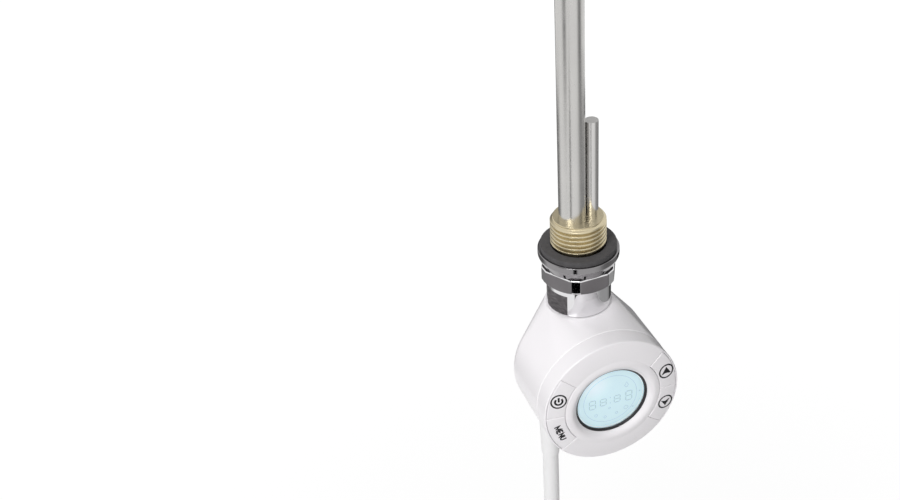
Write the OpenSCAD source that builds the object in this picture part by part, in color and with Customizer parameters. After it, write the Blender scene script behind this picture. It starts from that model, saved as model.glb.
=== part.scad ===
// Electric heating element for a towel rail, with a thermostat head that swivels on its neck.
// Millimetres. +Z points up into the radiator, the display faces -Y, and the origin lies on the
// thread's axis at the seat plane, where the gasket meets the radiator.

/* [Radiator thread and seat] */
// Major diameter of the G1/2 male thread
thread_d = 20.955; // [20:0.005:23]
// Pitch of the thread
thread_pitch = 1.814; // [1.2:0.001:2.2]
// Depth of the thread
thread_depth = 1.162; // [0.7:0.001:1.3]
// Number of full threads
thread_turns = 6; // [4:1:9]
// Run-out between the seat and the first full thread
thread_relief = 0.4; // [0.3:0.05:0.5]
// Wall of the fitting round its wire space
fitting_wall = 1.6; // [1:0.1:1.8]
// Brass plate above the wire space, which carries the rod and the probe
fitting_plate = 8; // [4:0.5:9]
// Diameter of the seat gasket
gasket_d = 28.6; // [24:0.2:30]
// Thickness of the seat gasket
gasket_t = 2; // [1:0.1:3]

/* [Heating rod and probe] */
// Diameter of the steel sheath
sheath_d = 10; // [8:0.1:10.4]
// Length of the sheath above the seat
sheath_len = 272; // [120:1:400]
// Wall of the sheath
sheath_wall = 0.8; // [0.5:0.1:1.2]
// Offset of the sheath from the thread's axis
sheath_offset = 2.4; // [2:0.1:2.6]
// Diameter of the ceramic core
core_d = 4; // [3.4:0.1:4.6]
// Radial room for the wound coil, core to filling
coil_room = 1.1; // [0.8:0.1:1.4]
// Diameter of the resistance wire
coil_wire_d = 0.5; // [0.3:0.05:0.7]
// Pitch of the resistance coil
coil_pitch = 12; // [9:0.5:20]
// Cold length of the rod, above the seat, where the coil is absent
cold_len = 42; // [25:1:60]
// Diameter of a heater pin
pin_d = 1.4; // [1:0.1:1.5]
// Spacing of the two heater pins
pin_spacing = 2.4; // [2:0.1:2.6]
// Diameter of the probe pocket
pocket_d = 5; // [4:0.1:5.2]
// Length of the probe pocket above the seat
pocket_len = 50; // [24:1:90]
// Wall of the probe pocket
pocket_wall = 0.5; // [0.3:0.1:0.7]
// Offset of the pocket from the thread's axis
pocket_offset = 5.4; // [5.2:0.1:5.6]

/* [Cover ring and hexagon] */
// Diameter of the cover ring
ring_d = 30.6; // [29:0.2:34]
// Height of the ring's straight band
ring_band = 2.4; // [1:0.1:4]
// Height of the ring's flare
ring_flare = 3.7; // [3:0.1:6]
// Diameter at the lower edge of the flare
ring_low_d = 27.4; // [27:0.2:28.6]
// Number of slots round the flare
ring_slots = 12; // [6:1:18]
// Width of a slot
slot_w = 0.8; // [0.4:0.1:1.2]
// Height of a slot
slot_h = 2.4; // [1:0.1:2.9]
// Depth of a slot
slot_depth = 0.7; // [0.3:0.1:1]
// Size of the hexagon across its flats
nut_af = 27; // [25:0.5:30]
// Diameter that trims the hexagon's corners
nut_d = 29.2; // [28:0.2:32]
// Height of the hexagon
nut_h = 7.3; // [5:0.1:10]
// Height of the hexagon's lower chamfer
nut_chamfer = 2.6; // [1:0.1:4]
// Diameter at the hexagon's lower face
nut_low_d = 25.4; // [25:0.1:26.5]
// Turn of the hexagon's first corner from the front, to the left
nut_turn = 26; // [0:1:59]

/* [Neck and swivel] */
// Diameter of the chrome neck
neck_d = 24.5; // [23:0.1:24.9]
// Height of the neck between hexagon and head
neck_h = 11; // [7:0.5:20]
// Size of the spanner flats
flat_af = 22.4; // [21:0.1:23]
// Full-round shoulder above the flats
flat_shoulder = 2; // [1:0.1:4]
// Turn of the flats from the front, to the left
flat_turn = 67.5; // [0:0.5:89.5]
// Depth of the neck's socket on the fitting
socket_h = 4; // [3:0.5:6]
// Diameter of the journal that turns in the head
journal_d = 17; // [16.6:0.1:17.6]
// Radial running clearance of the journal
journal_clear = 0.05; // [0.02:0.01:0.1]
// Length of the head's bearing
bearing_h = 4.7; // [4:0.1:6]
// Diameter of the wire passage through the neck
passage_d = 12; // [9:0.1:12.4]
// Thickness of the sealing washer between neck and head
washer_t = 0.3; // [0.2:0.05:0.6]
// Section of the journal's O-ring
oring_d = 1.3; // [1:0.05:1.5]
// Thickness of the retaining ring
retainer_t = 1.85; // [1.2:0.05:2.4]
// Diameter of the retaining ring
retainer_d = 18.6; // [18.2:0.1:18.8]
// Reach of its stop tab, from the axis
stop_reach = 10.6; // [10:0.1:10.7]
// Angle that the stop tab and the stop rib each take
stop_angle = 22; // [12:1:28]

/* [Head] */
// Diameter of the round head
head_d = 55; // [54:0.5:62]
// Distance from the thread's axis to the rim of the face
head_front = 30.5; // [30.5:0.5:40]
// Distance from the thread's axis to the back of the round part
head_back = 5; // [3:0.5:10]
// Rounding of the back edge
back_round = 5; // [2:0.5:8]
// Wall of the shell
shell_wall = 2.2; // [1.6:0.1:2.4]
// Diameter of the fairing round the neck
fairing_d = 26.6; // [26:0.2:30]
// Width of the bezel's side band
bezel_band = 7.7; // [7.7:0.1:9]
// Side wall of the bezel
bezel_wall = 2; // [1.8:0.1:2.2]
// Thickness of the face at its rim
face_wall = 2; // [1.8:0.1:2.3]
// Rounding of the face's rim
rim_round = 0.6; // [0.3:0.1:0.9]
// Length of the shell's lap inside the bezel
lap_h = 3; // [2:0.1:3.4]

/* [Face and display] */
// Height of the face's dome at the foot of the display ridge
dome_h = 0.95; // [0.4:0.05:1.5]
// Height of the ridge's crest over that foot
crest_h = 0.45; // [0.2:0.05:0.8]
// Width of the face from its side to the ridge's crest
crest_band = 10.2; // [9.5:0.1:10.9]
// Width of the face from its side to the ridge's foot, where the buttons begin
button_band = 8.05; // [7.5:0.05:8.5]
// Drop from the rim plane to the edge of the display opening
opening_drop = 0.3; // [0:0.1:0.6]
// Width of the face from its side to the display opening
face_band = 12.75; // [12.6:0.05:13.1]
// Width of the dark ring round the display
ring_w = 0.95; // [0.75:0.05:2.25]
// Depth of the window below the rim plane
window_drop = 1.05; // [0.8:0.05:1.2]
// Thickness of the window
window_t = 1.2; // [0.8:0.1:1.5]
// Thickness of the display panel
lcd_t = 1.9; // [1.2:0.1:2.2]
// Thickness of the light guide
guide_t = 1.5; // [1:0.1:1.8]

/* [Buttons] */
// Half of the angle that a pair of buttons takes
pair_half_angle = 40; // [34:1:44]
// Gap round each button
button_gap = 0.2; // [0.15:0.05:0.35]
// Width of the rim round the button openings
button_rim = 0.65; // [0.65:0.1:0.95]
// Travel of a button
button_travel = 0.5; // [0.2:0.05:0.6]
// Thickness of a button at the rim
button_t = 1.4; // [1:0.1:1.45]
// Distance from the ridge's foot to the middle of the switches
switch_in = 1.05; // [0.55:0.1:1.35]
// Side of a switch
switch_side = 5.2; // [4:0.1:5.3]
// Height of a switch's body
switch_h = 3.1; // [2.4:0.1:3.2]

/* [Boards] */
// Distance from the seam to the front of the control board
board_step = 0.4; // [0.2:0.1:1]
// Thickness of a circuit board
board_t = 1.6; // [1:0.1:1.6]
// Clearance between the control board and the shell
control_margin = 1.8; // [1.7:0.1:2.5]
// Clearance between the power board and the shell
power_margin = 1.5; // [1.1:0.1:1.9]
// Gap between the boards
board_gap = 6.3; // [5:0.1:6.4]
// Distance from the shell to the board screws
screw_margin = 4.3; // [4.3:0.1:4.7]
// Angles of the board screws
screw_angles = [60, 120, 240, 300];
// Diameter of a board screw
screw_d = 2; // [1.6:0.1:2.2]
// Height of the parts on the power board
part_h = 11; // [8:0.5:12]

/* [Mains lead] */
// Diameter of the lead
cord_d = 6.5; // [6:0.1:7]
// Distance from the left side of the head to the lead
cord_inset = 11.9; // [11.5:0.2:13.5]
// Offset of the lead forward of the thread's axis
cord_forward = 5.5; // [5:0.1:6]
// Length of the strain relief below the head
boot_len = 20; // [20:1:40]
// Diameter of the strain relief at the head
boot_d = 8.6; // [8.2:0.1:9]
// Diameter of the strain relief at its tip
boot_tip_d = 7.2; // [7.2:0.1:8]
// Length of the tied hank
hank_len = 126; // [110:1:160]
// Width of the hank's end loops
hank_w = 46; // [44:1:60]
// Depth of the hank
hank_depth = 33; // [28:1:40]
// Width of the hank at its tie
hank_waist = 21; // [20:0.5:26]
// Width of the tie's band
tie_w = 8; // [5:0.5:12]
// Diameter of the plug
plug_d = 37; // [34:0.5:40]
// Length of the plug's body
plug_len = 34; // [28:1:45]
// Length of the plug's tapered neck
plug_neck = 22; // [16:1:30]
// Diameter of a plug pin
plug_pin_d = 4.8; // [4:0.1:5]
// Spacing of the plug pins
plug_pin_spacing = 19; // [18:0.5:20]
// Length of the plug pins
plug_pin_len = 19; // [15:0.5:20]

/* [Hidden] */
$fn = 96;
fit = 0.02; // clearance of pressed, brazed and glued pieces
loose = 0.1; // clearance of pieces that are laid in place
soft = 0.3; // clearance of soft ends, such as a wire's
over = 1; // how far a cut runs past a face
join = 0.02; // overlap of solids that are built up into one piece
fairing_edge = 0.5; // straight edge round the fairing's top

// Levels along Z, from the seat down to the head's centre
ring_top = -gasket_t;
ring_low = ring_top - ring_band - ring_flare;
nut_low = ring_low - nut_h;
washer_top = nut_low - neck_h;
boss_top = washer_top - washer_t;
head_r = head_d / 2;
head_z = boss_top - head_r;
bearing_low = boss_top - bearing_h;
retainer_top = bearing_low - 0.15;
retainer_low = retainer_top - retainer_t;
tail_low = retainer_low - 1.5;
leads_low = tail_low - 3.3;

// Fitting
thread_r = thread_d / 2;
thread_root_r = thread_r - thread_depth;
thread_land = thread_pitch / 4;
thread_len = thread_turns * thread_pitch + thread_land;
thread_top = thread_relief + thread_len;
shank_r = thread_root_r;
space_r = shank_r - fitting_wall;
plate_low = thread_top - fitting_plate;
shank_low = nut_low - socket_h;

// Rod and probe
sheath_r = sheath_d / 2;
sheath_low = plate_low - 6;
filling_r = core_d / 2 + coil_room;
seal_low = sheath_low - 2;
pocket_tail = 2;
pins_low = seal_low - 8;
fuse_d = 3.8;
fuse_h = 9;
wire_r = 0.9;
lead_sleeve_r = 3.3;
lead_sleeve_top = shank_low - 3;
core_top = sheath_len - 12;

// Neck
neck_r = neck_d / 2;
journal_r = journal_d / 2;
tail_r = journal_r - 1.3;
retainer_r = retainer_d / 2;
relief_r = stop_reach + 0.25;
rib_low = retainer_low - 0.4;

// Head, measured forward from the thread's axis, along -Y
inner_r = head_r - shell_wall;
crest_r = head_r - crest_band;
foot_r = head_r - button_band;
opening_r = head_r - face_band;
display_r = opening_r - ring_w;
switch_r = foot_r + switch_in;
control_r = inner_r - control_margin;
power_r = inner_r - power_margin;
screw_r = inner_r - screw_margin;
seam_f = head_front - bezel_band;
bezel_inner_r = head_r - bezel_wall;
lap_r = head_r - 1.05;
face_inner_f = head_front - face_wall;
button_outer_r = head_r - button_rim;
lap_shoulder_f = seam_f + lap_h + 1;
window_f = head_front - window_drop;
lcd_front_f = window_f - window_t - loose;
guide_front_f = lcd_front_f - lcd_t - loose;
control_f = seam_f - board_step;
control_back_f = control_f - board_t;
power_f = control_back_f - board_gap;
power_back_f = power_f - board_t;
seat_r = opening_r + 0.45;
well_r = seat_r + 1.4;
frame_r = seat_r - loose;
panel_r = frame_r - 0.75;
well_low_f = control_f + 2.2;
flange_top_f = face_inner_f - 0.1;
flange_t = 0.7;
flange_low_f = flange_top_f - flange_t;
actuator_tip_f = control_f + switch_h + 0.65;
plunger_sink = 0.5;
plunger_well = plunger_sink + button_travel + 0.2;

// Lead: it leaves straight down and its spare length hangs below in a hank, with the plug under it
cord_r = cord_d / 2;
cord_offset = head_r - cord_inset;
boot_flange_r = boot_d / 2 + 1;
boot_flange_t = 1.4;
outlet_z = head_z - sqrt(head_r * head_r - cord_offset * cord_offset);
pad_top = head_z - sqrt(inner_r * inner_r - pow(cord_offset + boot_flange_r, 2)) + 0.3;
clamp_low = pad_top + boot_flange_t + loose;
clamp_h = 3;
clamp_screw_x = 6.8; // from the lead, towards the head's centre
clamp_right = clamp_screw_x + 2.2;
cord_top = clamp_low + clamp_h + 1;
hank_top = -154;
hank_z = hank_top - hank_len / 2;
hank_low = hank_top - hank_len;
plug_top = hank_low - 8;
plug_face = plug_top - plug_neck - plug_len;
boot_bore_r = cord_r + 0.05;
cord_route = [[0, 0, -84], [0, 0, -98], [0, 0, -112], [0, 0, -126], [0, 0, -140]];

// ---- shared shapes ----

// Head coordinates: X to the right, Y up from the head's centre, Z forward to the face
module head_frame() {
    translate([0, 0, head_z]) rotate([90, 0, 0]) children();
}

// A straight tube between two levels
module ring(outer, inner, low, high) {
    translate([0, 0, low]) difference() {
        cylinder(r = outer, h = high - low);
        translate([0, 0, -over]) cylinder(r = inner, h = high - low + 2 * over);
    }
}

// A sector of a ring, centred on an angle
module sector(outer, inner, low, high, at, span) {
    rotate([0, 0, at - span / 2])
        rotate_extrude(angle = span)
            translate([inner, low]) square([outer - inner, high - low]);
}

// A round tube swept along points, with level ends; the route may not run along Y
function unit(v) = v / norm(v);
function along(p, i) =
    i == 0 || i == len(p) - 1 ? [0, 0, sign(p[len(p) - 1][2] - p[0][2])] : unit(p[i + 1] - p[i - 1]);
function ring_point(p, i, r, a) =
    let (t = along(p, i), u = unit(cross([0, 1, 0], t)), v = cross(t, u))
    p[i] + r * (cos(a) * u + sin(a) * v);
module swept(p, r, sides = 8) {
    skinned([for (i = [0:len(p) - 1])
        [for (s = [0:sides - 1]) ring_point(p, i, r, 360 * s / sides)]]);
}

// A closed skin over rings that have the same number of points
module skinned(rings) {
    n = len(rings);
    m = len(rings[0]);
    skin = [for (i = [0:n - 2]) for (s = [0:m - 1])
        let (a = i * m + s, b = i * m + (s + 1) % m)
        each [[a, a + m, b + m], [a, b + m, b]]];
    ends = [[for (s = [0:m - 1]) s], [for (s = [m - 1:-1:0]) (n - 1) * m + s]];
    polyhedron([for (one = rings) each one], concat(skin, ends), convexity = 4);
}

// A smooth bend from a to b: it starts and ends along Z
function eased(a, b, n) = [for (i = [0:n]) let (t = i / n, s = t * t * (3 - 2 * t))
    [a[0] + (b[0] - a[0]) * s, a[1] + (b[1] - a[1]) * s, a[2] + (b[2] - a[2]) * t]];

// Height of the face over the rim plane, at a radius
function face_h(r) =
    r < crest_r
        ? -opening_drop + (dome_h + crest_h + opening_drop)
            * sin(90 * (r - opening_r) / (crest_r - opening_r))
    : r < foot_r
        ? dome_h + crest_h * cos(90 * (r - crest_r) / (foot_r - crest_r))
    : dome_h * (1 - pow((r - foot_r) / (head_r - rim_round - foot_r), 1.6));
function face_line(from, to, n) =
    [for (i = [0:n]) let (r = from + (to - from) * i / n) [r, head_front + face_h(r)]];

// ---- the part that is screwed into the radiator ----

module threaded_fitting() {
    outline = concat([[0, thread_top], [0, shank_low], [shank_r, shank_low], [shank_r, 0]],
        [for (i = [0:thread_turns]) for (c = [[1, 0], [1, 1], [0, 2], [0, 3]])
            if (i < thread_turns || c[0] == 1)
            [c[0] == 1 ? thread_r : thread_root_r,
                thread_relief + i * thread_pitch + c[1] * thread_land]]);
    color("darkgoldenrod") difference() {
        rotate_extrude() polygon(outline);
        translate([0, 0, shank_low - over]) cylinder(r = space_r, h = plate_low - shank_low + over);
        translate([-sheath_offset, 0, plate_low - over])
            cylinder(r = sheath_r + fit, h = fitting_plate + 2 * over);
        translate([pocket_offset, 0, plate_low - pocket_tail - over])
            cylinder(r = pocket_d / 2 + fit, h = fitting_plate + pocket_tail + 2 * over);
    }
}

module seat_gasket() {
    color("dimgray") ring(gasket_d / 2, thread_r + loose, ring_top, 0);
}

module cover_ring() {
    band_low = ring_top - ring_band;
    color("silver") difference() {
        rotate_extrude() polygon([[shank_r + fit, ring_top], [ring_d / 2, ring_top],
            [ring_d / 2, band_low], [ring_low_d / 2, ring_low], [shank_r + fit, ring_low]]);
        for (i = [0:ring_slots - 1])
            rotate([0, 0, 360 * i / ring_slots])
                translate([ring_low_d / 2 - slot_depth, -slot_w / 2, ring_low - over])
                    cube([ring_d, slot_w, slot_h + over]);
    }
}

module hex_nut() {
    color("darkgray") translate([0, 0, nut_low]) difference() {
        intersection() {
            rotate([0, 0, -90 - nut_turn]) cylinder(r = nut_af / sqrt(3), h = nut_h, $fn = 6);
            rotate_extrude() polygon([[0, 0], [nut_low_d / 2, 0], [nut_d / 2, nut_chamfer],
                [nut_d / 2, nut_h], [0, nut_h]]);
        }
        translate([0, 0, -over]) cylinder(r = shank_r + fit, h = nut_h + 2 * over);
    }
}

module neck_sleeve() {
    groove_z = boss_top - bearing_h / 2;
    groove = oring_d + 0.2;
    color("gainsboro") difference() {
        union() {
            difference() {
                translate([0, 0, washer_top]) cylinder(r = neck_r, h = neck_h);
                for (side = [0, 180])
                    rotate([0, 0, -90 - flat_turn + side])
                        translate([flat_af / 2, -neck_r, washer_top - over])
                            cube([neck_r, 2 * neck_r, neck_h - flat_shoulder + over]);
            }
            translate([0, 0, retainer_top]) cylinder(r = journal_r, h = washer_top - retainer_top + over);
            translate([0, 0, tail_low]) cylinder(r = tail_r, h = washer_top - tail_low);
        }
        translate([0, 0, shank_low]) cylinder(r = shank_r + fit, h = socket_h + over);
        translate([0, 0, tail_low - over]) cylinder(r = passage_d / 2, h = neck_h + journal_d);
        ring(journal_r + over, journal_r - oring_d, groove_z - groove / 2, groove_z + groove / 2);
    }
}

module neck_seal() {
    color("black") ring(neck_r - 0.4, journal_r + fit, boss_top, washer_top);
}

module journal_oring() {
    color("black") translate([0, 0, boss_top - bearing_h / 2])
        rotate_extrude() translate([journal_r - oring_d / 2 - 0.01, 0]) circle(d = oring_d - 0.02);
}

module retaining_ring() {
    tab_w = 2 * retainer_r * sin(stop_angle / 2);
    tab_end = sqrt(stop_reach * stop_reach - tab_w * tab_w / 4);
    color("steelblue") {
        difference() {
            union() {
                translate([0, 0, retainer_low]) cylinder(r = retainer_r, h = retainer_t);
                translate([-tab_w / 2, -tab_end, retainer_low])
                    cube([tab_w, tab_end - tail_r - 0.5, retainer_t]);
            }
            translate([0, 0, retainer_low - over])
                cylinder(r = tail_r + fit, h = retainer_t + 2 * over);
        }
    }
}

// ---- heating rod and probe ----

module in_rod() {
    translate([-sheath_offset, 0, 0]) children();
}

module in_probe() {
    translate([pocket_offset, 0, 0]) children();
}

module heater_sheath() {
    inner = sheath_r - sheath_wall;
    dome = sheath_len - sheath_r;
    color("silver") in_rod() difference() {
        union() {
            translate([0, 0, sheath_low]) cylinder(r = sheath_r, h = dome - sheath_low);
            translate([0, 0, dome]) sphere(r = sheath_r);
        }
        translate([0, 0, sheath_low - over]) cylinder(r = inner, h = dome - sheath_low + over);
        translate([0, 0, dome]) sphere(r = inner);
    }
}

module heater_filling() {
    outer = sheath_r - sheath_wall - fit;
    color("whitesmoke") in_rod() union() {
        ring(outer, filling_r, sheath_low, core_top + join);
        translate([0, 0, core_top]) cylinder(r = outer, h = sheath_len - sheath_r - core_top);
    }
}

module ceramic_core() {
    color("linen") in_rod() difference() {
        translate([0, 0, sheath_low]) cylinder(d = core_d, h = core_top - sheath_low);
        for (side = [-1, 1])
            translate([side * pin_spacing / 2, 0, sheath_low - over])
                cylinder(d = pin_d + 2 * fit, h = cold_len + over);
    }
}

module heating_coil() {
    hot = core_top - 6 - cold_len;
    per_turn = 8;
    steps = ceil(hot / coil_pitch * per_turn);
    mid_r = core_d / 2 + coil_room / 2;
    wire = coil_wire_d / 2;
    rings = [for (i = [0:steps]) let (a = i * 360 / per_turn, z = cold_len + i * coil_pitch / per_turn)
        [for (q = [0:90:270])
            let (r = mid_r + wire * cos(q)) [r * cos(a), r * sin(a), z + wire * sin(q)]]];
    color("peru") in_rod() skinned(rings);
}

module heater_pins() {
    color("silver") in_rod() for (side = [-1, 1])
        translate([side * pin_spacing / 2, 0, pins_low])
            cylinder(d = pin_d, h = cold_len - 10 - pins_low);
}

module crimp_sleeves() {
    color("gold") in_rod() for (side = [-1, 1])
        translate([side * pin_spacing / 2, 0, 0])
            ring(pin_d / 2 + 0.3, pin_d / 2 + fit, pins_low, pins_low + 5);
}

module end_seal() {
    color("firebrick") in_rod() difference() {
        translate([0, 0, seal_low]) cylinder(r = sheath_r - 0.4, h = sheath_low - seal_low);
        for (side = [-1, 1])
            translate([side * pin_spacing / 2, 0, seal_low - over])
                cylinder(d = pin_d + 2 * fit, h = sheath_low - seal_low + 2 * over);
    }
}

module element_leads() {
    // two heater wires and the probe's pair, drawn together into the sleeve
    color("ivory") {
        for (side = [-1, 1])
            swept(eased([-sheath_offset + side * pin_spacing / 2, 0, pins_low - soft],
                [side * 1.1, 0, lead_sleeve_top + soft], 5), wire_r);
        swept(concat([[pocket_offset, 0, plate_low + 12]],
            eased([pocket_offset, 0, plate_low - pocket_tail], [0, 2.1, lead_sleeve_top + soft], 8)), 0.7);
    }
}

module lead_sleeve() {
    color("khaki") translate([0, 0, leads_low])
        cylinder(r = lead_sleeve_r, h = lead_sleeve_top - leads_low);
}

module sensor_pocket() {
    outer = pocket_d / 2;
    color("silver") in_probe() difference() {
        translate([0, 0, plate_low - pocket_tail])
            cylinder(r = outer, h = pocket_len - plate_low + pocket_tail);
        translate([0, 0, plate_low - pocket_tail - over])
            cylinder(r = outer - pocket_wall, h = pocket_len - plate_low + pocket_tail);
    }
}

module thermistor() {
    color("darkslategray") in_probe() translate([0, 0, pocket_len - 2 - 8])
        cylinder(r = pocket_d / 2 - pocket_wall - loose, h = 8);
}

module thermal_fuse() {
    color("lightsteelblue") translate([0, space_r - fuse_d / 2 - loose, seal_low - fuse_h])
        cylinder(d = fuse_d, h = fuse_h);
}

// ---- head: shell, bezel and display ----

// The teardrop round the head's drum and the neck, shrunk by a wall
module drum_and_fairing(wall, front_f) {
    r = head_r - wall;
    round_r = max(back_round - wall, 0.5);
    flat_f = round_r - head_back + wall;
    hull() {
        head_frame() for (a = [0:30:90])
            translate([0, 0, flat_f - round_r * sin(a)])
                cylinder(r = r - round_r * (1 - cos(a)), h = front_f - flat_f, $fn = 48);
        translate([0, 0, boss_top - wall - fairing_edge])
            cylinder(r = fairing_d / 2 - wall, h = fairing_edge, $fn = 48);
    }
}

module body_shell() {
    color("white") difference() {
        union() {
            difference() {
                drum_and_fairing(0, seam_f);
                drum_and_fairing(shell_wall, seam_f + over);
            }
            head_frame() ring(lap_r, inner_r - 0.1, seam_f - over, seam_f + lap_h);
            // bearing for the journal, and the rib at the back that stops the swivel
            translate([0, 0, bearing_low])
                cylinder(r = relief_r + 0.2, h = bearing_h - shell_wall / 2);
            sector(relief_r + 0.4, retainer_r + 0.2, rib_low, bearing_low + 0.5, 90, stop_angle);
            // tall seat for the strain relief, and the post for the clamp's screw
            intersection() {
                head_frame() translate([0, 0, -over])
                    cylinder(r = head_r - shell_wall / 2, h = head_front);
                on_lead() {
                    translate([0, 0, head_z - head_r])
                        cylinder(r = boot_flange_r + 1, h = pad_top - head_z + head_r);
                    translate([clamp_screw_x, 0, head_z - head_r])
                        cylinder(r = 2.1, h = clamp_low - loose - head_z + head_r);
                }
            }
        }
        translate([0, 0, bearing_low - over])
            cylinder(r = journal_r + journal_clear, h = bearing_h + 2 * over);
        difference() {
            translate([0, 0, rib_low - over]) cylinder(r = relief_r, h = bearing_low - rib_low + over);
            sector(relief_r + over, journal_r, rib_low - 2 * over, bearing_low + over, 90, stop_angle);
        }
        on_lead() {
            translate([0, 0, head_z - head_d]) cylinder(d = boot_d, h = head_d);
            translate([0, 0, pad_top]) cylinder(r = boot_flange_r, h = head_d);
            translate([clamp_screw_x, 0, clamp_low - 4]) cylinder(r = 0.8 + fit, h = 4 + over);
        }
        head_frame() for (a = screw_angles)
            sector(head_r - 1.5, inner_r - over, control_f - 3.8, control_f - 2.3, a, 22);
    }
}

module front_bezel() {
    post_r = 2.3;
    outline = concat(
        [[head_r, seam_f]],
        [for (a = [0:22.5:90]) [head_r - rim_round * (1 - cos(a)),
            head_front - rim_round * (1 - sin(a))]],
        face_line(head_r - rim_round - 0.3, foot_r + 0.3, 7),
        face_line(foot_r - 0.2, opening_r, 14),
        [[opening_r, window_f + 0.25], [seat_r, window_f + 0.25], [seat_r, well_low_f],
            [well_r, well_low_f], [well_r, face_inner_f], [bezel_inner_r, face_inner_f],
            [bezel_inner_r, lap_shoulder_f], [lap_r + 0.05, lap_shoulder_f], [lap_r + 0.05, seam_f]]);
    leg_in = inner_r - 1.4;
    leg_out = inner_r - 0.3;
    leg_low = control_f - 3.5;
    foot_f = lap_shoulder_f + 0.1;
    leg = [[leg_in, leg_low], [inner_r + 0.45, leg_low], [inner_r + 0.45, leg_low + 0.9],
        [leg_out, leg_low + 0.9], [leg_out, foot_f], [bezel_inner_r + 0.2, foot_f],
        [bezel_inner_r + 0.2, face_inner_f + 0.5], [leg_in, face_inner_f + 0.5]];
    color("whitesmoke") head_frame() difference() {
        union() {
            difference() {
                rotate_extrude() polygon(outline);
                for (at = [0, 180])
                    sector(button_outer_r, foot_r, face_inner_f - 0.2, head_front + 4, at,
                        2 * pair_half_angle);
            }
            for (a = screw_angles) {
                rotate([0, 0, a]) translate([screw_r, 0, control_f])
                    cylinder(r = post_r, h = face_inner_f + 0.5 - control_f);
                // leg whose barb snaps into the shell's pocket
                rotate([0, 0, a - 8]) rotate_extrude(angle = 16) polygon(leg);
            }
        }
        for (a = screw_angles)
            rotate([0, 0, a]) translate([screw_r, 0, control_f - over])
                cylinder(d = screw_d + 2 * fit, h = 4 + over);
    }
}

module bezel_seal() {
    color("black") head_frame()
        ring(lap_r - 0.1, bezel_inner_r + 0.05, seam_f + lap_h, lap_shoulder_f - 0.02);
}

module display_gasket() {
    color("black") head_frame() rotate_extrude() polygon([
        [display_r, window_f + 0.02], [display_r, window_f + 0.15],
        [opening_r - fit, head_front - opening_drop - 0.1], [opening_r - fit, window_f + 0.23],
        [seat_r - fit, window_f + 0.23], [seat_r - fit, window_f - window_t],
        [panel_r + fit, window_f - window_t], [panel_r + fit, window_f + 0.02]]);
}

module display_window() {
    bevel = 0.35;
    color("lightcyan", 0.5) head_frame() rotate_extrude() polygon([
        [0, window_f], [panel_r - bevel, window_f], [panel_r, window_f - bevel],
        [panel_r, window_f - window_t], [0, window_f - window_t]]);
}

module lcd_panel() {
    color("powderblue") head_frame() translate([0, 0, lcd_front_f - lcd_t])
        cylinder(r = panel_r - loose, h = lcd_t);
}

module backlight() {
    w = 2 * (panel_r - 4.8);
    h = 2 * (panel_r - 5.8);
    color("white") head_frame() translate([-w / 2, -h / 2, guide_front_f - guide_t])
        cube([w, h, guide_t]);
}

module lcd_frame() {
    color("lightgray") head_frame() {
        ring(frame_r - fit, panel_r - loose + fit, control_f, window_f - window_t - fit);
        // cross bar that carries the light guide
        translate([-panel_r - 0.2, -2, control_f])
            cube([2 * panel_r + 0.4, 4, guide_front_f - guide_t - control_f]);
    }
}

module zebra_strips() {
    color("dimgray") head_frame() for (side = [-1, 1])
        translate([-7, side * (panel_r - 4.1) - 0.8, control_f])
            cube([14, 1.6, lcd_front_f - lcd_t - control_f]);
}

// ---- boards ----

module board(r, low_f) {
    difference() {
        translate([0, 0, low_f]) cylinder(r = r, h = board_t);
        for (a = screw_angles)
            rotate([0, 0, a]) translate([screw_r, 0, low_f - over])
                cylinder(d = screw_d + 0.2, h = board_t + 2 * over);
    }
}

module control_board() {
    color("green") head_frame() board(control_r, control_back_f);
}

module power_board() {
    color("green") head_frame() board(power_r, power_back_f);
}

module controller_chip() {
    color("black") head_frame() translate([-3.5, -3.5, control_back_f - 1.4]) cube([7, 7, 1.4]);
}

module board_header() {
    color("black") head_frame() translate([-6.5, -16, power_f]) cube([13, 2.5, board_gap]);
}

module board_spacers() {
    color("silver") head_frame() for (a = screw_angles)
        rotate([0, 0, a]) translate([screw_r, 0, 0])
            ring(2.2, screw_d / 2 + 0.1, power_f, control_back_f);
}

module board_screws() {
    color("silver") head_frame() for (a = screw_angles)
        rotate([0, 0, a]) translate([screw_r, 0, 0]) {
            translate([0, 0, power_back_f]) cylinder(d = screw_d, h = control_f + 3.5 - power_back_f);
            translate([0, 0, power_back_f - 1.3]) cylinder(d = 3.8, h = 1.3);
        }
}

// A part that stands on the back of the power board
module on_power(x, y, w, h, depth = part_h) {
    head_frame() translate([x, y, power_back_f - depth]) cube([w, h, depth]);
}

module relay() {
    color("orange") on_power(power_r - 20.8, -8.2, 18, 9.5);
}

module supply_capacitors() {
    color("gold") on_power(clamp_right - cord_offset + 0.6, -15.8, power_r - 10.8, 6, 9);
    color("navy") head_frame() translate([power_r - 8.6, -11.5, power_back_f - part_h])
        cylinder(d = 6.3, h = part_h);
}

module board_fuse() {
    color("saddlebrown") head_frame() translate([power_r - 9.8, 8.5, power_back_f - 8])
        cylinder(d = 8.4, h = 8);
}

module varistor() {
    color("royalblue") on_power(-17, 5, 8, 3.6, 9);
}

// Two screw terminal blocks: one for the rod above, one for the lead below
rod_block = [-7, head_r - 23.3, 14, 8];
lead_block = [2.8 - power_r, -4, 15, 8];
module terminal_blocks() {
    color("limegreen") for (b = [rod_block, lead_block])
        on_power(b[0], b[1], b[2], b[3], 12);
}

module head_leads() {
    top = head_z + rod_block[1] + rod_block[3];
    color("ivory") for (k = [-1, 0, 1])
        swept(eased([k * 2.1, 0, leads_low - soft], [k * 5, -3, top + soft], 4), wire_r);
}

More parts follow.
